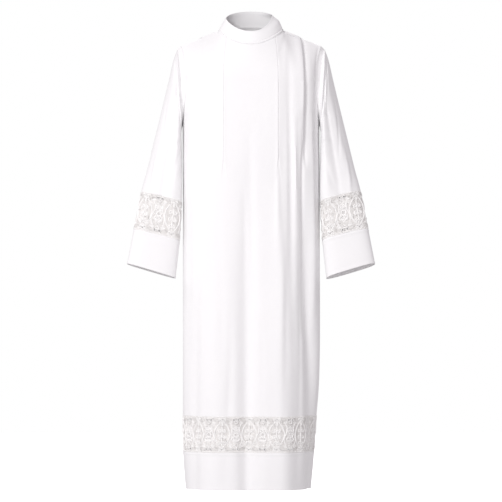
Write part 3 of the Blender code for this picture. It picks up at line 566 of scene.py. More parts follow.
def half_stations(side, row):
    """Place, shift and lift of every column of a half panel, for each row."""
    level = np.zeros((len(row), 1))
    under = np.linspace(PLACE_ARMHOLE, PLACE_SIDE, UNDERARM_CELLS + 1)[1:]
    if side == "back":
        place = np.concatenate((np.linspace(0.0, PLACE_ARMHOLE, 74), under))
        drop = -PLEAT_STEPS[1] * smooth((place - 2.9) / 0.3)
        drop = drop * np.clip(PLACE_SIDE - place, 0.0, 1.0)
        below = 1.0 - smooth((row - CHEST) / (UNDERARM - CHEST))
        fade = np.where(row < 0.0, below, 1.0)
        return place, level + np.zeros(len(place)), fade[:, None] * drop
    lifts = (PLEAT_STEPS[0] * (1.0 - pleat_openness(0, row)[:, None]), level,
             -PLEAT_STEPS[1] * (1.0 - pleat_openness(1, row)[:, None]))
    flats = [np.linspace(*flat) for flat in FLAT_STATIONS]
    places, shifts, heights = [], [], []
    for k, flat in enumerate(flats):
        places.append(flat)
        shifts.append(level + np.zeros(len(flat)))
        heights.append(lifts[k] + np.zeros(len(flat)))
        if k < 2:
            shift, lift = pleat_path(k, row)
            places.append(np.full(shift.shape[1], PLEAT_PLACES[k], float))
            shifts.append(shift)
            heights.append(lift)
    places.append(under)
    shifts.append(level + np.zeros(len(under)))
    heights.append(lifts[2] * (PLACE_SIDE - under))
    return (np.concatenate(places), np.concatenate(shifts, axis=1),
            np.concatenate(heights, axis=1))


print("depth of the pleats in millimetres:", [1000 * pleat[2] for pleat in PLEATS])


# %% [markdown]
# Front and back are each one piece of cloth, cut out for the neck and the armholes. The
# rows above the chest go over the shoulder, and the part under the arm begins only at
# the chest row, which leaves the armhole open.

# %% Front and back
YOKE_ROWS, HANGING_ROWS = 34, 150
YOKE_END, SHOULDER_FADE = 0.97, 0.10


def body_panel(side):
    """Grid of a panel, its normals and its cells, sewn edges included."""
    over = np.linspace(0.0, 1.0, YOKE_ROWS + 1)[:-1] ** 1.15
    over[1:] = np.minimum(over[1:], YOKE_END)
    below = CHEST + (LACE_TOP - CHEST) * np.linspace(0.0, 1.0, HANGING_ROWS) ** 1.1
    row = np.concatenate((over, below))
    place, shift, lift = half_stations(side, row)
    place = np.concatenate((place[:0:-1], place))
    half = len(place) // 2
    sign = np.concatenate((-np.ones(half), np.ones(half + 1)))
    shift = np.concatenate((shift[:, :0:-1], shift), axis=1)
    lift = np.concatenate((lift[:, :0:-1], lift), axis=1)
    rows, places = np.meshgrid(row, place, indexing="ij")
    signs = np.broadcast_to(sign, rows.shape)
    base = body_base(places, shift, rows, side, signs)
    out = body_normal(places, shift, rows, side, signs)
    heights = row_height(places, np.minimum(rows, CHEST))
    u = signs * (arc_at(places, heights, side) + shift)
    below_seam = np.where(rows < 0.0, 1.0, smooth(rows / SHOULDER_FADE))
    grid = base + (lift + below_seam * relief(base, u, side))[..., None] * out
    facing = -1.0 if side == "front" else 1.0
    grid[:, (0, -1), 1] += facing * SEAM / 2
    present = np.ones((len(row) - 1, len(place) - 1), bool)
    present[:YOKE_ROWS, :UNDERARM_CELLS] = False
    present[:YOKE_ROWS, -UNDERARM_CELLS:] = False
    normals = outward(grid_normals(grid, present), grid, np.array([0.0, 0.0, -0.7]))
    shoulder = np.abs(grid[0, :, 0]) > NECK_HALF_WIDTH - 0.001
    normals[0, shoulder] = out[0, shoulder]
    normals[-1, :, 2] = 0.0
    normals[-1] /= np.linalg.norm(normals[-1], axis=1, keepdims=True)
    return grid, normals, present


PANELS = {side: body_panel(side) for side in ("front", "back")}
BODY = {side: cloth_wall("robe_" + side, grid, CLOTH, normals, present)
        for side, (grid, normals, present) in PANELS.items()}
print("front grid:", PANELS["front"][0].shape, "back grid:", PANELS["back"][0].shape)

# %% [markdown]
# A sleeve is a tube that is sewn into the armhole. Its first ring follows the armhole
# edge of both panels, one seam away from it. Every further ring is a superellipse
# hung between an outer and an inner edge, which lean forward with the bend of an arm.

# %% Sleeve rings
RING_COLUMNS = ("outer_x", "outer_z", "inner_x", "inner_z", "depth", "forward", "squareness")
SLEEVE_RINGS = np.array((
    (0.2310, -0.0560, 0.2158, -0.3030, 0.060, 0.000, 2.2),
    (0.2430, -0.0900, 0.2172, -0.3180, 0.060, 0.001, 2.3),
    (0.2590, -0.1600, 0.2168, -0.3480, 0.057, 0.003, 2.4),
    (0.2810, -0.2520, 0.2156, -0.3950, 0.052, 0.007, 2.5),
    (0.3030, -0.3430, 0.2150, -0.4420, 0.047, 0.013, 2.6),
    (0.3250, -0.4340, 0.2150, -0.4880, 0.043, 0.021, 2.7),
    (0.3426, -0.5015, 0.2158, -0.5320, 0.040, 0.029, 2.8),
    (0.3655, -0.6190, 0.2225, -0.6540, 0.035, 0.042, 3.0),
    (0.3860, -0.7250, 0.2345, -0.7700, 0.032, 0.054, 3.0),
))
RING_LACE_TOP, RING_BAND_TOP, RING_EDGE, RING_GAP = 6.0, 7.0, 8.0, 0.003
FORWARD_TILT = {1.0: 0.21, -1.0: 0.11}
SLEEVE_TURN = 0.020
# place round the ring (0 outside, 0.25 front, 0.5 inside), half width, height, and the
# first and last ring
SLEEVE_FOLDS = (
    (0.17, 0.035, 0.0040, 1.0, 7.0),
    (0.27, 0.030, -0.0045, 0.6, 7.0),
    (0.36, 0.030, 0.0040, 0.8, 6.5),
    (0.66, 0.035, 0.0040, 1.0, 6.5),
    (0.77, 0.030, -0.0045, 0.8, 7.0),
    (0.86, 0.030, 0.0035, 1.0, 7.0),
)
# place and ring where a crease begins and ends, half width, height
SLEEVE_CREASES = (
    (0.05, 0.25, 0.20, 1.60, 0.016, -0.0028),
    (0.12, 0.20, 0.33, 2.10, 0.014, 0.0026),
    (0.42, 0.60, 0.22, 2.60, 0.018, -0.0034),
    (0.46, 1.60, 0.24, 3.80, 0.018, 0.0030),
    (0.10, 2.20, 0.22, 4.40, 0.016, -0.0026),
    (0.40, 3.00, 0.30, 5.90, 0.018, -0.0030),
    (0.14, 3.90, 0.18, 6.40, 0.016, 0.0026),
    (0.95, 0.40, 0.80, 2.20, 0.018, -0.0028),
    (0.58, 0.80, 0.74, 3.20, 0.018, 0.0030),
    (0.62, 2.60, 0.70, 5.60, 0.018, -0.0032),
    (0.90, 2.80, 0.84, 5.60, 0.018, 0.0028),
)


def ring_value(t, name):
    """A sleeve measure at ring number t, from the table."""
    numbers = np.arange(float(len(SLEEVE_RINGS)))
    return curve_through(t, numbers, SLEEVE_RINGS[:, RING_COLUMNS.index(name)])


def sleeve_relief(place, t):
    """Soft folds along the sleeve and short slanting creases across it."""
    total = np.zeros_like(place + t)
    for middle, width, height, first, last in SLEEVE_FOLDS:
        along = np.clip((t - first) / (last - first), 0.0, 1.0)
        away = (place - middle + 0.5) % 1.0 - 0.5
        total += height * np.sin(math.pi * along) ** 0.7 * np.exp(-(away / width) ** 2)
    for place_top, first, place_low, last, width, height in SLEEVE_CREASES:
        along = np.clip((t - first) / (last - first), 0.0, 1.0)
        middle = place_top + (place_low - place_top) * along
        away = (place - middle + 0.5) % 1.0 - 0.5
        total += height * np.sin(math.pi * along) * np.exp(-(away / width) ** 2)
    cap = (0.0026 * np.exp(-((t - 0.10) / 0.12) ** 2)
           - 0.0030 * np.exp(-((t - 0.70) / 0.24) ** 2))
    return total + cap * np.abs(np.sin(2 * math.pi * place)) ** 0.6


def sleeve_rings(t, places, sign):
    """Rings of a sleeve: middle + c * half width + s * depth, with c and s the cosine
    and sine to the power 2 / squareness; places count the share of the ring's length."""
    t = np.asarray(t, float)[:, None]
    outer = np.concatenate((ring_value(t, "outer_x"), 0 * t, ring_value(t, "outer_z")), axis=1)
    inner = np.concatenate((ring_value(t, "inner_x"), 0 * t, ring_value(t, "inner_z")), axis=1)
    middle, half = (outer + inner) / 2, (outer - inner) / 2
    middle[:, 1] = -ring_value(t, "forward")[:, 0]
    tilt = FORWARD_TILT[sign] * smooth(t / RING_LACE_TOP)
    deep = ring_value(t, "depth") * np.concatenate((0 * t, -1 + 0 * t, tilt), axis=1)
    power = 2.0 / ring_value(t, "squareness")
    angles = np.linspace(0.0, 2 * math.pi, 481)
    c = np.sign(np.cos(angles)) * np.abs(np.cos(angles)) ** power
    s = np.sign(np.sin(angles)) * np.abs(np.sin(angles)) ** power
    way = middle[:, None] + c[..., None] * half[:, None] + s[..., None] * deep[:, None]
    way[..., 1] += SLEEVE_TURN * c * smooth((RING_LACE_TOP + 1.5 - t) / 3.0)
    steps = np.linalg.norm(np.diff(way, axis=1), axis=2)
    lengths = np.concatenate((np.zeros_like(t), np.cumsum(steps, axis=1)), axis=1)
    at = (places % 1.0) * lengths[:, -1:]
    rings = np.stack([interp_rows(at, lengths, way[..., k]) for k in range(3)], axis=-1)
    away = rings - middle[:, None]
    away /= np.linalg.norm(away, axis=2, keepdims=True)
    rings += sleeve_relief(places, t)[..., None] * away
    return rings * np.array([sign, 1.0, 1.0])


# %% [markdown]
# The sleeve's cap stands up a little where it leaves the armhole, because more cloth is
# eased into the seam than the seam is long. That makes the soft ridge beside the seam.

# %% Sleeves
CAP_SHARES = (0.0, 0.25, 0.76, 0.88, 1.0)
CAP_HEIGHTS = (0.0, -0.0080, -0.0125, -0.0080, -0.0025)


def seam_ring(sign):
    """Points beside both armhole edges, and the way the sleeve's cloth leaves them."""
    halves = []
    for grid, normals, _ in PANELS.values():
        columns = grid.shape[1]
        edge = UNDERARM_CELLS if sign < 0 else columns - 1 - UNDERARM_CELLS
        beside = edge + 1 if sign < 0 else edge - 1
        under = np.arange(edge, -1, -1) if sign < 0 else np.arange(edge, columns)
        down = grid[:YOKE_ROWS + 1, edge]
        sideways = down - grid[:YOKE_ROWS + 1, beside]
        sideways /= np.linalg.norm(sideways, axis=1, keepdims=True)
        along = grid[YOKE_ROWS, under]
        upward = along - grid[YOKE_ROWS + 1, under]
        upward /= np.linalg.norm(upward, axis=1, keepdims=True)
        leave = np.concatenate((sideways[:-1], sideways[-1:] + upward[:1], upward[1:]))
        clear = np.concatenate((np.zeros(YOKE_ROWS), [3 * SEAM],
                                np.full(len(under) - 1, 2 * SEAM)))
        out = np.concatenate((normals[:YOKE_ROWS, edge], normals[YOKE_ROWS, under]))
        points = np.concatenate((down[:-1], along)) + SEAM * leave + clear[:, None] * out
        halves.append((points, leave / np.linalg.norm(leave, axis=1, keepdims=True)))
    (front, front_leave), (back, back_leave) = halves
    return (np.concatenate((front, back[-2:0:-1])),
            np.concatenate((front_leave, back_leave[-2:0:-1])))


def sleeve(sign):
    """Grid and normals of the upper sleeve, from the armhole seam to the lace."""
    start, leaving = seam_ring(sign)
    steps = np.linalg.norm(np.roll(start, -1, axis=0) - start, axis=1)
    places = np.concatenate(([0.0], np.cumsum(steps)[:-1])) / steps.sum()
    even = np.linspace(0.0, 1.0, len(places), endpoint=False)
    t = np.concatenate((np.linspace(0.0, 1.0, 12)[:-1],
                        np.linspace(1.0, RING_LACE_TOP - RING_GAP, 78)))
    mix = 0.6 * smooth(t / RING_LACE_TOP)[:, None]
    rings = sleeve_rings(t, places * (1 - mix) + even * mix, sign)
    share = np.linspace(0.0, 1.0, 13)[1:-1, None, None]
    eased = start + (rings[0] - start) * share
    away = eased - start.mean(axis=0)
    away /= np.linalg.norm(away, axis=2, keepdims=True)
    pucker = np.interp(share, CAP_SHARES, CAP_HEIGHTS)
    pucker = pucker * np.abs(np.sin(2 * math.pi * places))[:, None] ** 0.6
    grid = np.concatenate((start[None], eased + pucker * away, rings))
    normals = outward(grid_normals(grid, wrap=True), grid, grid.mean(axis=1, keepdims=True))
    ahead = np.maximum(np.sum(normals[0] * leaving, axis=1, keepdims=True), 0.0)
    normals[0] -= ahead * leaving
    normals[0] /= np.linalg.norm(normals[0], axis=1, keepdims=True)
    return grid, normals


SIDES = {"left": 1.0, "right": -1.0}
SLEEVES = {name: sleeve(sign) for name, sign in SIDES.items()}
SLEEVE_CLOTH = {name: cloth_wall("sleeve_cloth_" + name, grid, CLOTH, normals, wrap=True)
                for name, (grid, normals) in SLEEVES.items()}

# %% [markdown]
# The cuffs and the hem are turned up double, so their cloth is thicker and stiffer. The
# turned edge is round, and the upper edge makes a low ridge where the layers end.

# %% Cuffs and hem band
BAND_CLOTH, HEM_DROP = 0.0016, 0.0045


def band_lift(v):
    """Height of a band's cloth from its top (v 0) to its edge (v 1): two low ridges."""
    return (0.0016 * np.exp(-((v - 0.040) / 0.022) ** 2)
            + 0.0005 * np.exp(-((v - 0.97) / 0.03) ** 2))


def cuff(sign):
    """Grid and normals of a cuff."""
    t = np.linspace(RING_BAND_TOP, RING_EDGE, 36)
    places = np.broadcast_to(np.linspace(0.0, 1.0, 110, endpoint=False), (len(t), 110))
    grid = sleeve_rings(t, places, sign)
    normals = outward(grid_normals(grid, wrap=True), grid, grid.mean(axis=1, keepdims=True))
    lift = band_lift(t - RING_BAND_TOP)[:, None, None]
    return grid + lift * normals, normals


def level_band(side, z, columns):
    """Grid of the body's cloth between both side seams at heights below the body's edge."""
    facing = -1.0 if side == "front" else 1.0
    shares = np.linspace(-1.0, 1.0, columns)
    u = shares * reach(z, side)[:, None]
    heights = np.broadcast_to(z[:, None], u.shape)
    sign = np.where(u < 0.0, -1.0, 1.0)
    base = level_point(np.abs(u), heights, side, sign)
    step = 0.002
    ends = [level_point(np.clip(np.abs(u) + d, 0.0, reach(z, side)[:, None]), heights, side, sign)
            for d in (step, -step)]
    along = (ends[0] - ends[1]) * sign[..., None]
    normal = np.stack((-along[..., 1], along[..., 0], 0 * u), axis=-1) * facing
    normal[np.abs(u) < step] = (0.0, facing, 0.0)
    normal /= np.linalg.norm(normal, axis=2, keepdims=True)
    grid = base + relief(base, u, side)[..., None] * normal
    grid[:, (0, -1), 1] += facing * SEAM / 2
    return grid


def hem_band(side):
    """Grid and normals of the turned-up hem, front or back."""
    v = np.linspace(0.0, 1.0, 36)
    grid = level_band(side, BAND_TOP + (HEM - HEM_DROP - BAND_TOP) * v, 240)
    normals = outward(grid_normals(grid), grid, np.array([0.0, 0.0, HEM]))
    normals[..., 2][[0, -1]] = 0.0
    normals /= np.linalg.norm(normals, axis=2, keepdims=True)
    return grid + band_lift(v)[:, None, None] * normals, normals


CUFFS = {name: cuff(sign) for name, sign in SIDES.items()}
CUFF_CLOTH = {name: cloth_wall("cuff_cloth_" + name, grid, BAND_CLOTH, normals, wrap=True)
              for name, (grid, normals) in CUFFS.items()}
HEM_BANDS = {side: hem_band(side) for side in ("front", "back")}
HEM_CLOTH = {side: cloth_wall("hem_cloth_" + side, grid, BAND_CLOTH, normals)
             for side, (grid, normals) in HEM_BANDS.items()}

# %% [markdown]
# The collar is a stiff band that stands up round the neck and leans in towards its rim.
# It is open at the left shoulder, where its front end is cut back at the foot.

# %% Collar
COLLAR_TOP_HALF_WIDTH, COLLAR_TOP_FRONT, COLLAR_TOP_BACK = 0.0785, 0.078, 0.056
COLLAR_TOP_SIDE_Z, COLLAR_SIDE_RISE = 0.0470, 0.0040
COLLAR_TOP_FRONT_Z, COLLAR_TOP_BACK_Z = -0.002, 0.0655
COLLAR_TURN_IN, COLLAR_FACING = 0.0115, 0.018
COLLAR_CLOTH = 0.0020
COLLAR_CUT_SHARES = (0.0, 0.10, 0.30, 0.62, 1.0)
COLLAR_CUT_BACK = (0.0220, 0.0190, 0.0060, 0.0012, 0.0008)


def collar_rings(share, angle):
    """Collar at shares of its height; angles run from the left side over the front."""
    rise, front = np.abs(np.sin(angle)), np.sin(angle) > 0
    across = NECK_HALF_WIDTH * np.cos(angle)
    foot = np.where(front[..., None], top_edge(across * 0.999999, "front"),
                    top_edge(across * 0.999999, "back"))
    side_z = COLLAR_TOP_SIDE_Z + COLLAR_SIDE_RISE * np.cos(angle)
    top_z = side_z + np.where(front, (COLLAR_TOP_FRONT_Z - side_z) * rise ** 1.4,
                              (COLLAR_TOP_BACK_Z - side_z) * rise ** 1.1)
    top_y = np.where(front, -COLLAR_TOP_FRONT * rise, COLLAR_TOP_BACK * rise)
    y = foot[..., 1] + (top_y - foot[..., 1]) * share ** 1.2
    x = (NECK_HALF_WIDTH + (COLLAR_TOP_HALF_WIDTH - NECK_HALF_WIDTH) * share ** 1.2) * np.cos(angle)
    x -= COLLAR_TURN_IN * smooth((share - 0.62) / 0.38) * np.clip(np.cos(angle), 0.0, 1.0) ** 1.5
    z = foot[..., 2] + (top_z - foot[..., 2]) * share
    lift = np.where(front, PLEAT_STEPS[0] * smooth((rise - 0.35) / 0.4) * (1 - share), 0.0)
    clear = np.where(front, SEAM, -2 * SEAM - COLLAR_FACING * rise * (1 - share) ** 2) * (1 - share)
    return np.stack((x, y - lift, z + 0.5 * lift + clear), axis=-1)


def collar_grid():
    """Grid and normals of the collar, with a ridge at the foot and a soft rolled rim."""
    share = np.linspace(0.0, 1.0, 30)
    start = np.interp(share, COLLAR_CUT_SHARES, COLLAR_CUT_BACK) / NECK_HALF_WIDTH
    end = 2 * math.pi - COLLAR_CUT_BACK[-1] / NECK_HALF_WIDTH
    angle = start[:, None] + (end - start[:, None]) * np.linspace(0.0, 1.0, 220)
    grid = collar_rings(np.broadcast_to(share[:, None], angle.shape), angle)
    normals = outward(grid_normals(grid), grid, np.array([0.0, -0.01, 0.0]))
    bumps = (0.0015 * np.exp(-((share - 0.07) / 0.05) ** 2)
             - 0.0010 * np.exp(-((share - 0.18) / 0.03) ** 2)
             + 0.0006 * np.exp(-((share - 0.97) / 0.05) ** 2))
    return grid + bumps[:, None, None] * normals, normals


COLLAR_GRID, COLLAR_NORMALS = collar_grid()
COLLAR_THICKNESS = CLOTH + (COLLAR_CLOTH - CLOTH) * smooth(np.linspace(0.0, 1.0, 30) / 0.2)[:, None]
COLLAR = cloth_wall("collar_cloth", COLLAR_GRID, COLLAR_THICKNESS, COLLAR_NORMALS)

# %% [markdown]
# A narrow strip lies over the closed opening on the left shoulder. Its points are those
# of the front panel, moved out of it by the cloth's thickness.

# %% Strip over the shoulder opening
def shoulder_strip():
    """Grid and normals of the strip, between the collar and the outer pleat."""
    place = np.broadcast_to(np.linspace(2.04, 2.86, 24), (8, 24))
    row = np.broadcast_to(np.linspace(0.0024, 0.0405, 8)[:, None], place.shape)
    base = body_base(place, 0 * place, row, "front", np.ones_like(place))
    out = body_normal(place, 0 * place, row, "front", np.ones_like(place))
    return base + 0.0024 * out, out


STRIP_GRID, STRIP_NORMALS = shoulder_strip()
STRIP = cloth_wall("shoulder_strip", STRIP_GRID, 0.0010, STRIP_NORMALS)

# %% [markdown]
# The lace is a fine net with a pattern worked on it in thick white cord. Its pattern
# repeats round the hem and the sleeves: a pointed frame with a spray of tendrils in it,
# and an eight-petalled flower between two frames. All of it is drawn here once, in
# millimetres from the middle of a repeat, and later laid on every band.

# %% The pattern of one repeat
REPEAT_WIDTH, REPEAT_HEIGHT = 84.0, 113.0
LEAVES = (
    # middle x and y, half length, half width, turn in degrees from upright
    (0.0, 33.0, 6.0, 2.8, 0), (25.5, 37.0, 6.0, 2.4, 60), (-25.5, 37.0, 6.0, 2.4, -60),
    (25.5, -37.0, 6.0, 2.4, 120), (-25.5, -37.0, 6.0, 2.4, -120),
)
FLOWER_RADIUS, FLOWER_PETALS = 11.0, 8
TAPE_HALF_WIDTH = 2.3
SMALL_FLOWERS = ((42.0, 38.0), (42.0, -38.0), (0.0, 49.5), (0.0, -49.5))


def turned(x, y, angle):
    """The same points turned clockwise by an angle in degrees."""
    a = math.radians(angle)
    return x * math.cos(a) + y * math.sin(a), y * math.cos(a) - x * math.sin(a)


def oval(x, y, long, wide, angle, count=22):
    """Closed outline of a leaf: an ellipse that is pinched to a point at both ends."""
    t = np.linspace(0.0, 2 * math.pi, count)
    dx, dy = turned(wide * np.sin(t) * np.abs(np.sin(t)) ** 0.3, long * np.cos(t), angle)
    return np.stack((x + dx, y + dy), axis=-1)


def flower(x, y, radius, petals, count=73):
    """Closed outline of a flower: its radius swells once for each petal."""
    t = np.linspace(0.0, 2 * math.pi, count)
    r = radius * (0.70 + 0.30 * np.abs(np.cos(petals * t / 2)) ** 0.8)
    return np.stack((x + r * np.sin(t), y + r * np.cos(t)), axis=-1)


def scroll(x, y, size, turns, mirror, up, count=26):
    """Spiral that winds into a point, its radius falling evenly with the turn."""
    t = np.linspace(0.0, 1.0, count)
    r, a = size * (1.0 - 0.86 * t), 2 * math.pi * turns * t
    return np.stack((x + mirror * (r * np.cos(a) - size), y + up * r * np.sin(a)), axis=-1)


def pointed_frame(half_width, half_height, count=31):
    """Two arcs that meet in a point above and below."""
    t = np.linspace(-1.0, 1.0, count)
    arc = half_width * (1.0 - np.abs(t) ** 1.9)
    return [np.stack((sign * arc, half_height * t), axis=-1) for sign in (-1.0, 1.0)]


def tapes():
    """Broad lines of the pattern, that stand on strips of close stitches."""
    lines = pointed_frame(23.0, 44.0)
    lines += [scroll(0.0, y, size, 1.25, -side, 1.0) for side in (-1.0, 1.0)
              for y, size in ((-27.0, 4.6), (-9.0, 6.6), (10.0, 6.2))]
    y = np.linspace(-36.0, 36.0, 25)
    lines += [np.stack((side * (27.0 + 4.5 * np.sin(y / 10.0)), y), axis=-1) for side in (-1, 1)]
    lines += [scroll(42.0 + side * 1.5, up * 14.0, 8.0, 1.2, side, up)
              for side in (-1.0, 1.0) for up in (-1.0, 1.0)]
    stem = np.linspace(-40.0, 26.0, 14)
    return lines + [np.stack((0.8 * np.sin(stem / 9.0), stem), axis=-1)]


def pattern_cords():
    """Every cord of a repeat as (points in millimetres, cord radius)."""
    cords = [(line, 1.35) for line in tapes()] + [(oval(*leaf), 0.9) for leaf in LEAVES]
    cords.append((flower(42.0, 0.0, FLOWER_RADIUS, FLOWER_PETALS), 1.2))
    cords.append((flower(42.0, 0.0, 4.2, FLOWER_PETALS, 41), 0.8))
    cords += [(flower(x, y, 5.6, 5, 41), 0.9) for x, y in SMALL_FLOWERS]
    cords += [(np.array([[x0, side * 38.0], [x0 + lean, side * 50.0]]), 0.5)
              for x0 in (-8.0, -2.6, 2.6, 8.0) for lean in (-1.2, 1.2) for side in (-1, 1)]
    cords += [(scroll(side * x0, up * y0, size, 1.2, turn * side, up), 0.8)
              for x0, y0, size, turn in ((12.0, 47.0, 4.2, 1.0), (33.0, 24.0, 4.6, -1.0))
              for side in (-1.0, 1.0) for up in (-1.0, 1.0)]
    x = np.linspace(0.0, REPEAT_WIDTH, 43) - REPEAT_WIDTH / 2
    for up in (-1.0, 1.0):
        wave = up * (53.2 + 1.6 * np.cos(2 * math.pi * x * 7 / REPEAT_WIDTH))
        straight = 0 * x + up * 55.6
        cords += [(np.stack((x, wave), axis=-1), 0.9), (np.stack((x, straight), axis=-1), 0.8)]
    return cords


def worked(x, y):
    """1 where the net is filled with stitches, 0 on open net, at points of a repeat."""
    filled = np.zeros_like(x)
    around = (-REPEAT_WIDTH, 0.0, REPEAT_WIDTH)
    for line in tapes():
        for shift in around:
            away = np.hypot(x[..., None] - line[:, 0] - shift, y[..., None] - line[:, 1])
            filled = np.maximum(filled, away.min(axis=-1) < TAPE_HALF_WIDTH)
    for shift in around:
        for mx, my, long, wide, angle in LEAVES:
            dx, dy = turned(x - mx - shift, y - my, -angle)
            filled = np.maximum(filled, (dx / wide) ** 2 + (dy / long) ** 2 < 1.0)
        flowers = [(42.0, 0.0, FLOWER_RADIUS)] + [(a, b, 5.6) for a, b in SMALL_FLOWERS]
        for mx, my, radius in flowers:
            dx, dy = x - mx - shift, y - my
            away = np.hypot(dx, dy)
            filled = np.maximum(filled, (away < 0.85 * radius) & (away > 0.35 * radius))
    return np.maximum(filled, 0.6 * (np.abs(y) > 51.0))


CORDS = pattern_cords()
print("cords in a repeat:", len(CORDS), "with", sum(len(line) for line, _ in CORDS), "points")

# %% [markdown]
# A cord is a thin tube laid on the net. All cords of a repeat are swept at once: at each
# of their points stands a small ring, square to the cord's way, half sunk in the net.

# %% Cords and net on a band
CORD_SIDES, CORD_SCALE, CORD_LIFT = 4, 0.0012, 0.0005
LACE_CELLS = ((1, 1), (1, 5), (5, 1), (5, 5), (3, 1), (3, 5))
LACE_REPEAT_COLUMNS = (0.0, 0.045, 0.115, 0.37, 0.63, 0.885, 0.955)
LACE_ROWS = (0.0, 0.065, 0.130, 0.460, 0.540, 0.870, 0.935, 1.0)


def on_cloth(grid, normals, a, b, lift):
    """Point at shares a across and b down a grid, moved out along its normal by lift."""
    rows, columns = grid.shape[:2]
    c, r = np.clip(a, 0, 1) * (columns - 1), np.clip(b, 0, 1) * (rows - 1)
    i, j = np.minimum(c.astype(int), columns - 2), np.minimum(r.astype(int), rows - 2)
    u, v = (c - i)[..., None], (r - j)[..., None]

    def mixed(field):
        return ((field[j, i] * (1 - u) + field[j, i + 1] * u) * (1 - v)
                + (field[j + 1, i] * (1 - u) + field[j + 1, i + 1] * u) * v)

    return mixed(grid) + np.asarray(lift)[..., None] * mixed(normals)


def gap_boxes():
    """Cut-through gaps of a repeat: shares of its width and height, low and high."""
    columns = LACE_REPEAT_COLUMNS + (1.0,)
    return [(columns[c], columns[c + 1], LACE_ROWS[r], LACE_ROWS[r + 1]) for c, r in LACE_CELLS]


def lace_net(name, grid, normals, repeats, rows, per_repeat):
    """Net of one band: each cell is a square with a diamond hole, small where it is
    worked, wide in bunches above and below and at uneven places between the tapes."""
    columns = repeats * per_repeat
    a, b = np.meshgrid(np.linspace(0, 1, columns + 1), np.linspace(0, 1, rows + 1))
    ca, cb = (a[:-1, :-1] + a[1:, 1:]) / 2, (b[:-1, :-1] + b[1:, 1:]) / 2
    local = (ca * repeats) % 1.0
    filled = worked((local - 0.5) * REPEAT_WIDTH, (0.5 - cb) * REPEAT_HEIGHT)
    keep = np.ones(ca.shape, bool)
    for left, right, top, low in gap_boxes():
        keep &= ~((local > left) & (local < right) & (cb > top) & (cb < low))
    bunch = np.minimum(np.abs(local - 0.5), 0.5 - np.abs(local - 0.5)) * REPEAT_WIDTH
    bunch = np.exp(-(bunch / 9.0) ** 2 - ((np.abs(cb - 0.5) * REPEAT_HEIGHT - 43.0) / 6.0) ** 2)
    j, i = np.indices(ca.shape)
    uneven = (np.sin(12.9898 * (i % per_repeat) + 78.233 * j) * 43758.5453) % 1.0
    open_share = np.where(filled > 0.0, 0.0, smooth((uneven - 0.70) / 0.15))
    size = 0.27 - 0.18 * filled + 0.19 * np.maximum(bunch, open_share) * (1.0 - filled)
    da, db = size / columns, size / rows
    corners = on_cloth(grid, normals, a, b, 0 * a)
    tone = worked(((a * repeats) % 1.0 - 0.5) * REPEAT_WIDTH, (0.5 - b) * REPEAT_HEIGHT)
    holes = np.stack([on_cloth(grid, normals, ca + x * da, cb + y * db, 0 * ca)
                      for x, y in ((0, -1), (1, 0), (0, 1), (-1, 0))], axis=2)
    number = np.arange((rows + 1) * (columns + 1)).reshape(rows + 1, columns + 1)
    sides = (number[:-1, :-1], number[:-1, 1:], number[1:, 1:], number[1:, :-1])
    first = number.size + 4 * np.arange(rows * columns).reshape(rows, columns)
    faces = []
    for k in range(4):
        here, after = sides[k], sides[(k + 1) % 4]
        faces.append(np.stack((here, after, first + k), axis=-1)[keep])
        faces.append(np.stack((after, first + (k + 1) % 4, first + k), axis=-1)[keep])
    faces = np.concatenate(faces)
    points = np.concatenate((corners.reshape(-1, 3), holes.reshape(-1, 3)))
    # The worked mask goes into the UV map; where it is 0 the net's finish paints a shade grey.
    tones = np.concatenate((tone.ravel(), np.repeat(filled.ravel(), 4)))
    triangle = points[faces[0]]
    if np.cross(triangle[1] - triangle[0], triangle[2] - triangle[0]) @ normals[0, 0] < 0:
        faces = faces[:, ::-1]
    corner = points[faces]
    area = np.linalg.norm(np.cross(corner[:, 1] - corner[:, 0], corner[:, 2] - corner[:, 0]), axis=1)
    obj = add_mesh(name, points, faces, uv=np.stack((tones, tones), axis=1))
    obj["cut_area"] = float(area.sum() / 2)
    print(name, "net cells", int(keep.sum()))
    return obj


def cord_tubes(name, grid, normals, repeats):
    """Tubes of every repeat: ring points are centre + r * (cos * side + sin * normal)."""
    points, faces, count = [], [], 0
    turn = np.arange(CORD_SIDES) * 2 * math.pi / CORD_SIDES
    for line, radius in CORDS + ring_cords():
        ends = np.abs(line[0] - line[-1]).max() < 1e-6
        x = np.arange(repeats)[:, None] + line[None, :, 0] / REPEAT_WIDTH + 0.5
        y = 0.5 - line[None, :, 1] / REPEAT_HEIGHT + 0 * x
        inside = (x.min(axis=1) >= 0.0) & (x.max(axis=1) <= repeats)
        a, b = x[inside] / repeats, y[inside]
        if not len(a):
            continue
        centre = on_cloth(grid, normals, a, b, np.full(a.shape, radius * CORD_LIFT))
        higher = np.full(a.shape, radius * CORD_LIFT + 0.001)
        above = on_cloth(grid, normals, a, b, higher) - centre
        above /= np.linalg.norm(above, axis=2, keepdims=True)
        way = np.gradient(centre, axis=1)
        side = np.cross(way, above)
        side /= np.maximum(np.linalg.norm(side, axis=2, keepdims=True), 1e-12)
        thick = np.full(line.shape[0], radius * CORD_SCALE)
        if not ends and len(line) > 2:
            thick *= 0.45 + 0.75 * np.sin(math.pi * np.linspace(0.0, 1.0, len(line)))
        ring = (np.cos(turn)[:, None] * side[:, :, None] + np.sin(turn)[:, None] * above[:, :, None])
        rings = centre[:, :, None] + ring * thick[:, None, None]
        lines, steps = rings.shape[:2]
        number = count + np.arange(rings[..., 0].size).reshape(lines, steps, CORD_SIDES)
        after = np.roll(number, -1, axis=2)
        quads = np.stack((number[:, :-1], number[:, 1:], after[:, 1:], after[:, :-1]), axis=-1)
        faces.append(quads.reshape(-1, 4))
        points.append(rings.reshape(-1, 3))
        count += rings[..., 0].size
    points, faces = np.concatenate(points), np.concatenate(faces)
    return add_mesh(name, points, faces, smooth_angle=89)


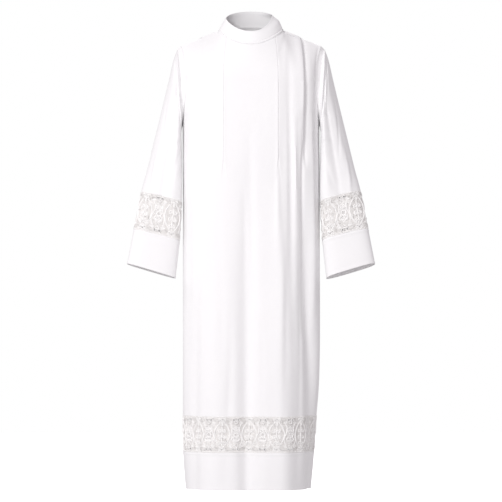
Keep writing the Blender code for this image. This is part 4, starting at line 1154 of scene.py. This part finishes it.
def ring_cords():
    """Cords round the cut-through gaps, as rounded rectangles."""
    rings = []
    t = np.linspace(0.0, 2 * math.pi, 21)
    for left, right, top, low in gap_boxes():
        x, y = (left + right) / 2 - 0.5, 0.5 - (top + low) / 2
        wide, high = (right - left) / 2, (low - top) / 2
        c, s = np.cos(t), np.sin(t)
        across = REPEAT_WIDTH * (x + wide * np.sign(c) * np.abs(c) ** 0.6)
        along = REPEAT_HEIGHT * (y + high * np.sign(s) * np.abs(s) ** 0.6)
        rings.append((np.stack((across, along), axis=-1), 1.0))
    return rings


# %% [markdown]
# Four bands of net hang from the sleeves and two from the hem. Their ground is laid on
# the same forms as the cuffs and the hem band, so all three stay in line.

# %% Lace bands
def hem_lace_ground(side):
    """Grid and normals under the lace of the hem."""
    top = LACE_TOP - SEAM
    grid = level_band(side, top + (BAND_TOP + SEAM - top) * np.linspace(0.0, 1.0, 40), 320)
    return grid, outward(grid_normals(grid), grid, np.array([0.0, 0.0, BAND_TOP]))


def sleeve_lace_ground(sign, face):
    """Grid and normals under the lace of one face of a sleeve."""
    edge = 0.0009
    start = edge + (0.0 if face == "front" else 0.5)
    places = start + np.linspace(0.0, 1.0, 90) * (0.5 - 2 * edge)
    t = np.linspace(RING_LACE_TOP, RING_BAND_TOP - RING_GAP, 40)
    grid = sleeve_rings(t, np.broadcast_to(places, (40, 90)), sign)
    whole = sleeve_rings(t[20:21], np.linspace(0.0, 1.0, 60)[None], sign)
    return grid, outward(grid_normals(grid), grid, whole.mean(axis=(0, 1)))


GROUNDS = {"hem_" + side: hem_lace_ground(side) + (7, 28) for side in ("front", "back")}
GROUNDS.update({"sleeve_" + name + "_" + face: sleeve_lace_ground(sign, face) + (2, 26)
                for name, sign in SIDES.items() for face in ("front", "back")})
NETS = {key: lace_net("net_" + key, grid, normals, repeats, 40, per_repeat)
        for key, (grid, normals, repeats, per_repeat) in GROUNDS.items()}
CORDED = {key: cord_tubes("cord_" + key, grid, normals, repeats)
          for key, (grid, normals, repeats, _) in GROUNDS.items()}

# %% [markdown]
# Bands, collar and strip are sewn down with a row of small stitches, and another row
# holds the lace to the cloth above it. A stitch is a short rounded bead of thread whose
# ends dip into the cloth; every row is made at once from the path it follows.

# %% Rows of stitches
STITCH_PITCH, STITCH_LENGTH, THREAD_RADIUS = 0.0036, 0.0026, 0.00032


def stitch_row(path, normals):
    """Beads along a path: four square rings each, the end rings small and sunk."""
    far = np.concatenate(([0.0], np.cumsum(np.linalg.norm(np.diff(path, axis=0), axis=1))))
    count = int(far[-1] / STITCH_PITCH)
    at = (np.arange(count) + 0.5) * far[-1] / count

    def along(values, where):
        return np.stack([np.interp(where, far, values[:, k]) for k in range(3)], axis=-1)

    up, way = along(normals, at), along(path, at + 0.001) - along(path, at - 0.001)
    way /= np.linalg.norm(way, axis=1, keepdims=True)
    side = np.cross(way, up)
    side /= np.linalg.norm(side, axis=1, keepdims=True)
    turn = np.arange(4) * math.pi / 2
    round_way = np.cos(turn)[:, None] * side[:, None] + np.sin(turn)[:, None] * up[:, None]
    shares, sizes = np.array((-0.5, -0.3, 0.3, 0.5)), np.array((0.3, 1.0, 1.0, 0.3))
    spine = (along(path, at)[:, None] + (STITCH_LENGTH * shares)[:, None] * way[:, None]
             + (THREAD_RADIUS * (sizes - 0.8))[:, None] * up[:, None])
    return spine[:, :, None] + (THREAD_RADIUS * sizes)[:, None, None] * round_way[:, None]


def stitches(name, rows):
    """One mesh of all stitches of several rows of (path, normals)."""
    beads = np.concatenate([stitch_row(*row) for row in rows])
    number = np.arange(beads[..., 0].size).reshape(beads.shape[:3])
    after = np.roll(number, -1, axis=2)
    quads = np.stack((number[:, :-1], number[:, 1:], after[:, 1:], after[:, :-1]), axis=-1)
    faces = np.concatenate((quads.reshape(-1, 4), number[:, 0], number[:, -1, ::-1]))
    print(name, len(beads), "stitches")
    return add_mesh(name, beads.reshape(-1, 3), faces, smooth_angle=60)


def grid_row(pair, row, closed=False):
    """Path and normals of a row of a grid, without its outermost points or closed up."""
    path, normals = pair[0][row], pair[1][row]
    if closed:
        return np.concatenate((path, path[:1])), np.concatenate((normals, normals[:1]))
    return path[2:-2], normals[2:-2]


BAND_STITCHES = stitches("band_stitches", [grid_row(HEM_BANDS[side], 3) for side in HEM_BANDS]
                         + [grid_row(CUFFS[name], 3, True) for name in SIDES])
COLLAR_STITCHES = stitches(
    "collar_stitches", [grid_row((COLLAR_GRID, COLLAR_NORMALS), row) for row in (5, 27)]
    + [grid_row((STRIP_GRID, STRIP_NORMALS), row) for row in (1, 6)])
EDGE_STITCHES = stitches(
    "lace_edge_stitches", [grid_row(PANELS[side][:2], -2) for side in PANELS]
    + [grid_row(SLEEVES[name], -2, True) for name in SIDES])

# %% [markdown]
# Finishes are written as sums. A small class wraps a shader socket, so that plus and
# times make the nodes, and the recipe of a cloth reads like a line of algebra.

# %% Shader sums
class Value:
    """A shader socket that can be added and multiplied like a number."""

    def __init__(self, shader, socket):
        self.shader, self.socket = shader, socket

    def math(self, operation, other):
        node = self.shader.tree.nodes.new("ShaderNodeMath")
        node.operation = operation
        for socket, operand in zip(node.inputs, (self, other)):
            self.shader.feed(socket, operand)
        return Value(self.shader, node.outputs[0])

    def __add__(self, other):
        return self.math("ADD", other)

    def __radd__(self, other):
        return self.math("ADD", other)

    def __mul__(self, other):
        return self.math("MULTIPLY", other)

    def __rmul__(self, other):
        return self.math("MULTIPLY", other)

    def clamp(self):
        return self.math("MINIMUM", 1.0).math("MAXIMUM", 0.0)


class Finish:
    """A material whose nodes are made by calls; every method gives back a Value."""

    def __init__(self, name):
        self.material = bpy.data.materials.new(name)
        self.material.use_nodes = True
        self.tree = self.material.node_tree
        self.surface = self.tree.nodes["Principled BSDF"]

    def feed(self, socket, value):
        if isinstance(value, Value):
            self.tree.links.new(value.socket, socket)
        else:
            socket.default_value = value

    def node(self, kind, inputs, output=0, **settings):
        """Any node: its type, its input values or links by name, and its settings."""
        node = self.tree.nodes.new(kind)
        for key, setting in settings.items():
            setattr(node, key, setting)
        for key, value in inputs.items():
            named = [socket for socket in node.inputs if socket.name == key and socket.enabled]
            self.feed(named[0], value)
        given = [socket for socket in node.outputs if socket.enabled]
        return Value(self, given[output] if isinstance(output, int) else
                     [socket for socket in given if socket.name == output][0])

    def set(self, **sockets):
        for key, value in sockets.items():
            self.feed(self.surface.inputs[key.replace("_", " ")], value)


# %% [markdown]
# The body is a smooth, light, close weave. A very fine grain breaks up the shine, and
# broad low waves stand for the small unevenness of cloth that has been worn and ironed.

# %% Finishes
def woven(name, colour, shade, roughness, wave, sheen):
    """Cloth with a fine plain weave and soft waves; shade, the second colour, is partly painted
    shade in the weave's hollows and partly tone that differs at random.
    """
    finish = Finish(name)
    place = finish.node("ShaderNodeTexCoord", {}, output="Object")
    cloth = finish.node("ShaderNodeUVMap", {}, uv_map="Cloth")
    weave = finish.node("ShaderNodeTexNoise", {"Vector": cloth, "Scale": 1500.0, "Detail": 1.0})
    waves = finish.node("ShaderNodeTexNoise", {"Vector": place, "Scale": 16.0, "Detail": 3.0})
    tone = finish.node("ShaderNodeTexNoise", {"Vector": place, "Scale": 7.0, "Detail": 2.0})
    # Colour is darker where the fine weave is low: painted shade in its hollows, mixed with broad
    # tone that differs at random.
    mixed = finish.node("ShaderNodeMix", {"Factor": (tone * 0.6 + weave * 0.3).clamp(),
                                          "A": shade, "B": colour},
                        output="Result", data_type="RGBA")
    broad = finish.node("ShaderNodeBump", {"Height": waves, "Strength": 1.0, "Distance": wave})
    fine = finish.node("ShaderNodeBump", {"Height": weave, "Normal": broad, "Strength": 0.5,
                                          "Distance": 0.0002})
    finish.set(Base_Color=mixed, Roughness=weave * 0.1 + roughness, Normal=fine)
    finish.surface.inputs["Sheen Weight"].default_value = sheen
    finish.surface.inputs["Sheen Roughness"].default_value = 0.4
    finish.surface.inputs["Specular IOR Level"].default_value = 0.25
    return finish.material


# Each second colour is the darker one, partly painted shade in the weave's hollows and partly tone
# that differs at random.
BODY_FINISH = woven("body_weave", (0.935, 0.932, 0.935, 1), (0.905, 0.897, 0.905, 1),
                    0.62, 0.0020, 0.10)
BAND_FINISH = woven("band_weave", (0.94, 0.937, 0.94, 1), (0.91, 0.902, 0.91, 1),
                    0.60, 0.0012, 0.10)
CORD_FINISH = woven("cord_thread", (0.98, 0.975, 0.965, 1), (0.95, 0.94, 0.93, 1),
                    0.70, 0.0002, 0.05)


def netting(name):
    """Net painted grey on its open ground, as shade seen through the net, and whiter where it is
    filled with stitches.
    """
    finish = Finish(name)
    filled = finish.node("ShaderNodeUVMap", {}, uv_map="Cloth")
    parts = finish.node("ShaderNodeSeparateXYZ", {"Vector": filled})
    # The open net's grey is painted shade, as seen through the net; worked parts keep the thread's
    # white.
    tone = finish.node("ShaderNodeMix", {"Factor": parts, "A": (0.885, 0.865, 0.845, 1),
                                         "B": (0.96, 0.95, 0.94, 1)},
                       output="Result", data_type="RGBA")
    finish.set(Base_Color=tone, Roughness=0.8)
    return finish.material


LACE_FINISH = netting("lace_net")

# %% [markdown]
# Each sheet rides on the robe's only body, stands for its imported node, and prints the
# size it was cut to. The cut is measured on the sheet's own grid.

# %% Place every sheet
def settle(obj, node, finish, cut, area=None):
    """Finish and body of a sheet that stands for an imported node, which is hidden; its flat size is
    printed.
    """
    obj.data.materials.append(finish)
    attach(obj, "root")
    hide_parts(*node)
    print(obj.name, "cut", [round(float(c), 3) for c in cut])


def cut_size(grid, wrap=False):
    """Greatest width and length of a grid, measured along the cloth."""
    closed = np.concatenate((grid, grid[:, :1]), axis=1) if wrap else grid
    width = np.linalg.norm(np.diff(closed, axis=1), axis=2).sum(axis=1).max()
    length = np.linalg.norm(np.diff(grid, axis=0), axis=2).sum(axis=0).max()
    return float(width), float(length)


def cut_area(grid, present=True, wrap=False):
    """Area of a grid's cells: half the cross product of each cell's diagonals, summed."""
    closed = np.concatenate((grid, grid[:, :1]), axis=1) if wrap else grid
    cross = np.cross(closed[1:, 1:] - closed[:-1, :-1], closed[1:, :-1] - closed[:-1, 1:])
    return float((np.linalg.norm(cross, axis=2) / 2 * present).sum())


for side in ("front", "back"):
    settle(BODY[side], [side + "_body"], BODY_FINISH,
           cut_size(PANELS[side][0]),
           area=cut_area(PANELS[side][0], PANELS[side][2]))
    settle(HEM_CLOTH[side], ["hem_band_" + side], BAND_FINISH,
           cut_size(HEM_BANDS[side][0]))
for name in SIDES:
    settle(SLEEVE_CLOTH[name], ["sleeve_" + name], BODY_FINISH,
           cut_size(SLEEVES[name][0], wrap=True),
           area=cut_area(SLEEVES[name][0], wrap=True))
    settle(CUFF_CLOTH[name], ["cuff_" + name], BAND_FINISH,
           cut_size(CUFFS[name][0], wrap=True),
           area=cut_area(CUFFS[name][0], wrap=True))
settle(COLLAR, ["collar"], BAND_FINISH, cut_size(COLLAR_GRID),
       area=cut_area(COLLAR_GRID))
settle(STRIP, ["shoulder_placket"], BAND_FINISH, cut_size(STRIP_GRID))
for key, net in NETS.items():
    where = key.split("_", 1)
    node = where[0] + "_lace_" + where[1]
    above = "robe_" + where[1] if where[0] == "hem" else "sleeve_cloth_" + where[1].split("_")[0]
    CORDED[key].data.materials.append(CORD_FINISH)
    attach(CORDED[key], "root")
    net.data.materials.append(LACE_FINISH)
    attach(net, "root")
    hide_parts(node)
for sewn, slot in ((BAND_STITCHES, "band_cloth"), (COLLAR_STITCHES, "band_cloth"),
                   (EDGE_STITCHES, "lace")):
    sewn.data.materials.append(CORD_FINISH)
    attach(sewn, "root")

# %% [markdown]
# The picture is lit like a shop photograph: a bright white room, a broad soft key light
# from the viewer's left, and little from the right, so the folds turn a pale mauve grey.

# %% Floor, light and camera
def plane(name, points, colour):
    """Flat quad of the stage that the camera sees as white, and that glows on nothing."""
    obj = add_mesh(name, np.array(points, float), np.array([[0, 1, 2, 3]]))
    finish = Finish(name + "_paint")
    seen = finish.node("ShaderNodeLightPath", {}, output="Is Camera Ray")
    finish.set(Base_Color=colour, Roughness=0.9, Emission_Color=seen)
    finish.surface.inputs["Emission Strength"].default_value = 1.0
    obj.data.materials.append(finish.material)


def area_light(name, place, target, size, power):
    """Square soft light at a place, aimed at a target."""
    lamp = bpy.data.lights.new(name, "AREA")
    lamp.size, lamp.energy = size, power
    obj = bpy.data.objects.new(name, lamp)
    obj.location = place
    aim = np.array(target) - np.array(place)
    obj.rotation_euler = (math.atan2(math.hypot(aim[0], aim[1]), -aim[2]), 0.0,
                          math.atan2(aim[0], -aim[1]) + math.pi)
    bpy.context.scene.collection.objects.link(obj)


FLOOR_Z = -1.50
plane("floor", [(-6, -9, FLOOR_Z), (6, -9, FLOOR_Z), (6, 6, FLOOR_Z), (-6, 6, FLOOR_Z)],
      (0.8, 0.8, 0.8, 1))


def white_room(brightness, tint):
    """World that the camera sees as white, and that lights the robe dimly with a tint."""
    world = bpy.data.worlds.new("white_room")
    world.use_nodes = True
    nodes, links = world.node_tree.nodes, world.node_tree.links
    seen = nodes.new("ShaderNodeLightPath")
    colour = nodes.new("ShaderNodeMix")
    colour.data_type = "RGBA"
    colour.inputs[6].default_value = tuple(brightness * c for c in tint) + (1.0,)
    colour.inputs[7].default_value = (1.0, 1.0, 1.0, 1.0)
    links.new(seen.outputs["Is Camera Ray"], colour.inputs[0])
    links.new(colour.outputs[2], nodes["Background"].inputs["Color"])
    return world


bpy.context.scene.world = white_room(0.62, (1.0, 0.957, 0.987))
area_light("key", (-2.7, -4.8, 1.9), (0, 0, -0.7), 2.0, 172.0)

scene = bpy.context.scene
scene.view_settings.view_transform = "Standard"
lens_data = bpy.data.cameras.new("camera")
camera = bpy.data.objects.new("camera", lens_data)
scene.collection.objects.link(camera)
VIEW_WIDTH, CAMERA_DISTANCE, VIEW_CENTRE_Z, FRONT_CLOTH_Y = 1.5562, 14.0, -0.6851, -0.11
lens_data.sensor_width = 36.0
lens_data.lens = lens_data.sensor_width * (CAMERA_DISTANCE + FRONT_CLOTH_Y) / VIEW_WIDTH
camera.location = (0.0, -CAMERA_DISTANCE, VIEW_CENTRE_Z)
camera.rotation_euler = (math.pi / 2, 0.0, 0.0)
scene.camera = camera
print("lens in millimetres:", round(lens_data.lens, 1))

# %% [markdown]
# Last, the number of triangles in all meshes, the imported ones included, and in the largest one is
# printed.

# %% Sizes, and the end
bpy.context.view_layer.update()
counted = {obj.name: sum(len(face.vertices) - 2 for face in obj.data.polygons)
           for obj in bpy.data.objects if obj.type == "MESH" and obj.data.polygons}
print("triangles in all", sum(counted.values()), "most in one", max(counted.values()))
